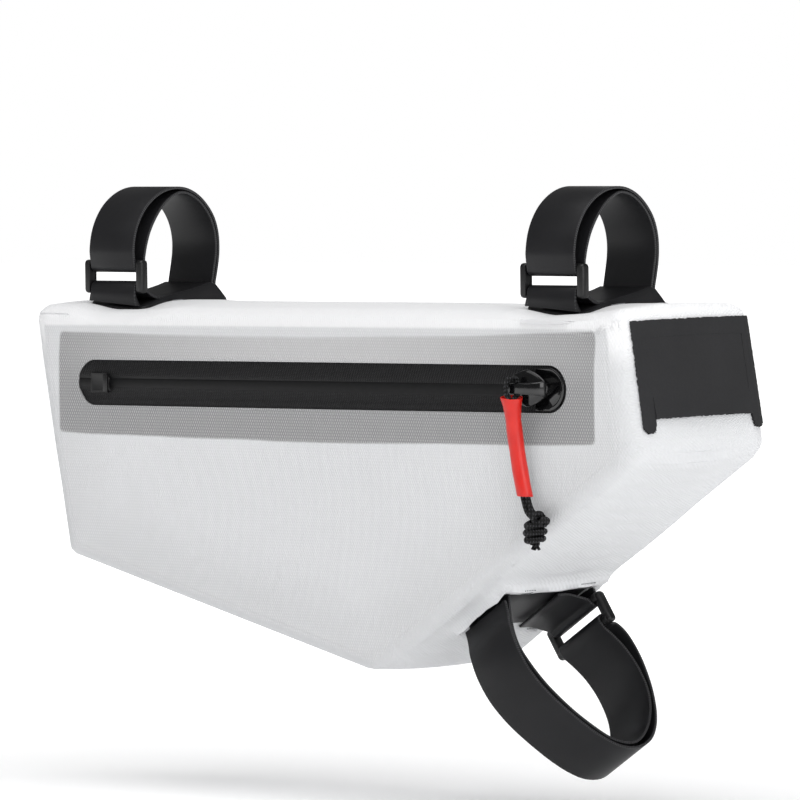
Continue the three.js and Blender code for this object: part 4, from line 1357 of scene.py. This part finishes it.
def strap_set(row):
    """One strap with its ring, its anchor and its foot, standing at the origin on a face."""
    name, loop = row["name"], LOOPS[row["face"]]
    bar_y = row["ring"]
    turned = -1 if bar_y > 0 else 1  # which way the ring's inner side faces
    upper, lower = (bar_y, BAR_HIGH), (bar_y, BAR_LOW)

    def mirrored(places):
        return [(2 * bar_y - y, z) for y, z in places] if turned < 0 else places

    over = mirrored(half_turn(upper, -1))
    path = smooth_line(loop["inner"]) + over + smooth_line(loop["outer"])
    strap = thicken(band(name + "_loop", path, [STRAP_WIDTH] * len(path)))
    # The anchor: from the foot up to the ring's lower bar, over it and down to the foot's edge.
    edge = loop["foot"][0] if turned > 0 else loop["foot"][-1]
    rise = [(bar_y * 0.3, 2.0), (bar_y * 0.55, 2.4)]
    over = mirrored(half_turn(lower, 1))
    y, z = over[-1]
    down = [(y, z), (y - turned * 0.3, (z + edge[1]) / 2 + 0.8), (edge[0] - turned * 0.4, edge[1] + 0.8)]
    path = smooth_line([*rise, over[0]], 3)[:-1] + over + smooth_line(down, 5)[1:]
    # Over the top tube its end flares by 3.5 mm.
    flare = 3.5 if turned > 0 else 0.0
    widths = [STRAP_WIDTH] * len(path)
    for k in range(6):
        widths[-1 - k] = STRAP_WIDTH + flare * (1 - k / 6)
    anchor = thicken(band(name + "_anchor_band", path, widths))
    for vertex in anchor.data.vertices:
        low = 1 - smoothstep(vertex.co.z / MM, 1, 6)
        vertex.co.z -= dip(row, row["x"] + vertex.co.x / MM, vertex.co.y / MM) * low * MM
    anchor = joined(name + "_anchor_cloth", anchor, foot_pad(name + "_foot", row))
    buckle = ring(name + "_buckle", bar_y, turned)
    return [(strap, name + "_strap"), (anchor, name + "_anchor"), (buckle, name + "_ring")]


def straps(cloth):
    """Each set is turned from its own axes to its face and moved to its place, then sewn down."""
    for row in SETS:
        spot, along, across, away = stand(row)
        turn = Matrix((along, across, away)).transposed().to_4x4()
        for piece, node in strap_set(row):
            piece.matrix_world = Matrix.Translation(spot * MM) @ turn
            settle(piece)
            hand_over(piece, "ring_plastic" if node.endswith("ring") else "strap", node)
    for k, row in enumerate(TACKS):
        bar_tack(f"tack_{k}", cloth, row)


# Port cover

COVER_HALF = 35.8  # half of its width
COVER_HEIGHT = 38.6  # of the flap, from the rim's upper edge
COVER_BAND = 6.4  # the rim's width
COVER_LEG = 5.5  # how far the rim's legs reach past the flap
COVER_BELOW_TOP = 6.4  # from the hull's top corner down the front face
CUT_GRID = 0.55  # spacing of the grid that a sheet is trimmed from


def cover_sheet(name, half, start, end, lift, keep, rng):
    """A sheet on the front face: a grid trimmed to its outline, its edge a little ragged from the cutter,
    then laid over the face's swell and rounded edges. It is 1 mm wider at its low far corner."""
    across, down = int(2 * half / CUT_GRID), int((end - start) / CUT_GRID)
    sheet = primitive(
        bpy.ops.mesh.primitive_grid_add, name, x_subdivisions=down, y_subdivisions=across, size=1
    )
    for vertex in sheet.data.vertices:
        vertex.co = Vector(((vertex.co.x + 0.5) * (end - start) + start, vertex.co.y * 2 * half, 0))
    edit(sheet)
    pick(sheet, "FACE", lambda f: not keep(f.calc_center_median().x, f.calc_center_median().y))
    bpy.ops.mesh.delete(type="FACE")
    mesh = bmesh.from_edit_mesh(sheet.data)
    for vertex in mesh.verts:
        if any(edge.is_boundary for edge in vertex.link_edges):
            vertex.co += Vector((rng.uniform(-0.22, 0.22), rng.uniform(-0.22, 0.22), 0))
    bmesh.update_edit_mesh(sheet.data)
    done()
    face = face_named["front"]
    for vertex in sheet.data.vertices:
        x, y = vertex.co.x, vertex.co.y
        vertex.co.z = lift(x, y) - face_drop(face, y)
        if y > 0:
            vertex.co.y += 1.0 * (x / COVER_HEIGHT) * (y / COVER_HALF)
    spot = face["start"] + face["along"] * COVER_BELOW_TOP
    down_axis = Vector((face["along"].x, 0, face["along"].y))
    away = Vector((face["out"].x, 0, face["out"].y))
    turn = Matrix((down_axis, away.cross(down_axis), away)).transposed()
    for vertex in sheet.data.vertices:
        vertex.co = (turn @ vertex.co + Vector((spot.x, 0, spot.y))) * MM
    face_out(sheet)
    # An open sheet can still face inwards.
    if sum(face.normal.x for face in sheet.data.polygons) < 0:
        edit(sheet)
        bpy.ops.mesh.select_all(action="SELECT")
        bpy.ops.mesh.flip_normals()
        done()
    finish(sheet, "SOLIDIFY", thickness=0.8 * MM, offset=-1.0)
    shade(sheet, 40)
    dress(sheet, COVER)
    return sheet


def port_cover():
    """The cover: a rim above and beside the port with round-ended legs, and a flap that stands out a
    little at its free edge."""
    rng = random.Random(3)
    inner = COVER_HALF - COVER_BAND
    tip = COVER_BAND / 2
    rim_end = COVER_HEIGHT + COVER_LEG

    def in_rim(x, y):
        band_y = abs(y) - inner
        if x < COVER_BAND:
            return True
        if band_y < 0:
            return False
        past = x - (rim_end - tip)
        return past < 0 or math.hypot(past, band_y - tip) < tip

    def flap_lift(x, y):
        free = smoothstep(x, COVER_HEIGHT - 12, COVER_HEIGHT)
        return 1.15 + 1.3 * free * (1 - (y / inner) ** 2 * 0.6)

    rim = cover_sheet("cover_rim", COVER_HALF, 0, rim_end, lambda x, y: 1.25, in_rim, rng)
    hand_over(rim, "cover_fabric", "port_frame")
    # The flap tucks 0.05 mm under the band above it and clears the legs by 0.1 mm.
    near, half = COVER_BAND - 0.05, inner - 0.1
    flap = cover_sheet("cover_flap", half, near, COVER_HEIGHT, flap_lift, lambda x, y: True, rng)
    hand_over(flap, "cover_fabric", "port_flap")


# The scene

cloth = hull()
zip_tape("zip_tape_top_cloth", "zip_tape_upper")
zip_tape("zip_tape_low_cloth", "zip_tape_lower")
zip_stop()
zip_dock()
slider()
pull()
straps(cloth)
port_cover()
dress(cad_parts["zip_backing"], FILM)

FLOOR_DROP = 12.0  # under the lowest strap


def studio():
    """A pale floor, a white backdrop and soft lamps."""
    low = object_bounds()[0]
    spot = (0, 0, low.z - FLOOR_DROP * MM)
    floor = primitive(bpy.ops.mesh.primitive_plane_add, "floor", size=14, location=spot)
    gloss = {"Roughness": 0.9, "Specular IOR Level": 0.1, "Emission Color": (1, 1, 1, 1)}
    made, tree, shader = material("white studio floor", gloss)
    place = add(tree, "TexCoord", out="Object")
    grain = add(tree, "TexNoise", {"Vector": place, "Scale": 3.0, "Detail": 2.0})
    colour = add(tree, "Mix", {0: grain, 6: "#f4f4f5", 7: "#fafafa"}, 2, data_type="RGBA")
    tree.links.new(colour, shader.inputs["Base Color"])
    # The floor glows, faintly near the bag and more away from it, until it meets the white backdrop:
    # painted light from its own emission.
    away = add(tree, "VectorMath", (place,), "Value", operation="LENGTH")
    glow = {"Value": away, "From Min": 0.1, "From Max": 1.5, "To Min": 0.12, "To Max": 0.9}
    glow = add(tree, "MapRange", glow, interpolation_type="SMOOTHSTEP")
    tree.links.new(glow, shader.inputs["Emission Strength"])
    dress(floor, made)

    world = bpy.data.worlds.new("white studio")
    bpy.context.scene.world = world
    world.use_nodes = True
    tree = world.node_tree
    seen = tree.nodes["Background"]
    seen.inputs["Color"].default_value = (1, 1, 1, 1)
    seen.inputs["Strength"].default_value = 1.0
    rays = add(tree, "LightPath").node.outputs
    # Glossy pieces mirror a darker room, so that their blacks stay deep.
    strength = add(tree, "Math", (rays["Is Glossy Ray"], -0.26, 0.4), operation="MULTIPLY_ADD")
    light = add(tree, "Background", {"Color": "#ffffff", "Strength": strength})
    both = add(tree, "MixShader", (rays["Is Camera Ray"], light, seen.outputs[0]))
    tree.links.new(both, tree.nodes["World Output"].inputs["Surface"])

    lamps = [
        {"name": "overhead", "at": (0.25, -0.35, 1.6), "size": 1.6, "power": 19.5},
        {"name": "front_box", "at": (1.9, -0.5, 0.5), "size": 1.1, "power": 11.5},
        {"name": "side_box", "at": (-0.9, -1.7, 1.5), "size": 0.9, "power": 3.0},
        {"name": "rear_box", "at": (-0.8, 2.2, 0.9), "size": 1.4, "power": 8.0},
        {"name": "glint", "at": (1.3, -1.6, 1.1), "size": 0.22, "power": 1.2},
    ]
    for row in lamps:
        bpy.ops.object.light_add(type="AREA", location=row["at"])
        lamp = bpy.context.object
        lamp.name = row["name"]
        lamp.data.size = row["size"]
        lamp.data.energy = row["power"]
        aim = Vector((0, 0, -0.08)) - Vector(row["at"])
        lamp.rotation_euler = aim.to_track_quat("-Z", "Y").to_euler()


# The camera: a long lens from the front near side, a little above level.
VIEW = {
    "azimuth": 42.0,
    "elevation": 1.23,
    "roll": -0.73,
    "distance": 3.0,
    "focal_px": 7407.0,
    "origin_px": (368.85, 252.05),
}
PICTURE = 800


def camera():
    """Looks so that the part's origin falls on its own place in the picture."""
    a, e, r = (math.radians(VIEW[k]) for k in ("azimuth", "elevation", "roll"))
    back = Vector((math.sin(a) * math.cos(e), -math.cos(a) * math.cos(e), math.sin(e)))
    level = Vector((math.cos(a), math.sin(a), 0))
    upright = back.cross(level)
    right = level * math.cos(r) + upright * math.sin(r)
    up = upright * math.cos(r) - level * math.sin(r)
    place = back * VIEW["distance"]
    off_x = (PICTURE / 2 - VIEW["origin_px"][0]) / VIEW["focal_px"]
    off_y = (VIEW["origin_px"][1] - PICTURE / 2) / VIEW["focal_px"]
    back = (back - right * off_x - up * off_y).normalized()
    right = (right - back * right.dot(back)).normalized()
    up = back.cross(right)
    bpy.ops.object.camera_add(location=place)
    eye = bpy.context.object
    eye.name = "studio_camera"
    eye.matrix_world = Matrix.Translation(place) @ Matrix((right, up, back)).transposed().to_4x4()
    eye.data.sensor_width = 36
    eye.data.lens = VIEW["focal_px"] * eye.data.sensor_width / PICTURE
    eye.data.clip_end = 100
    bpy.context.scene.camera = eye


studio()
camera()
bpy.context.scene.view_settings.view_transform = "Standard"
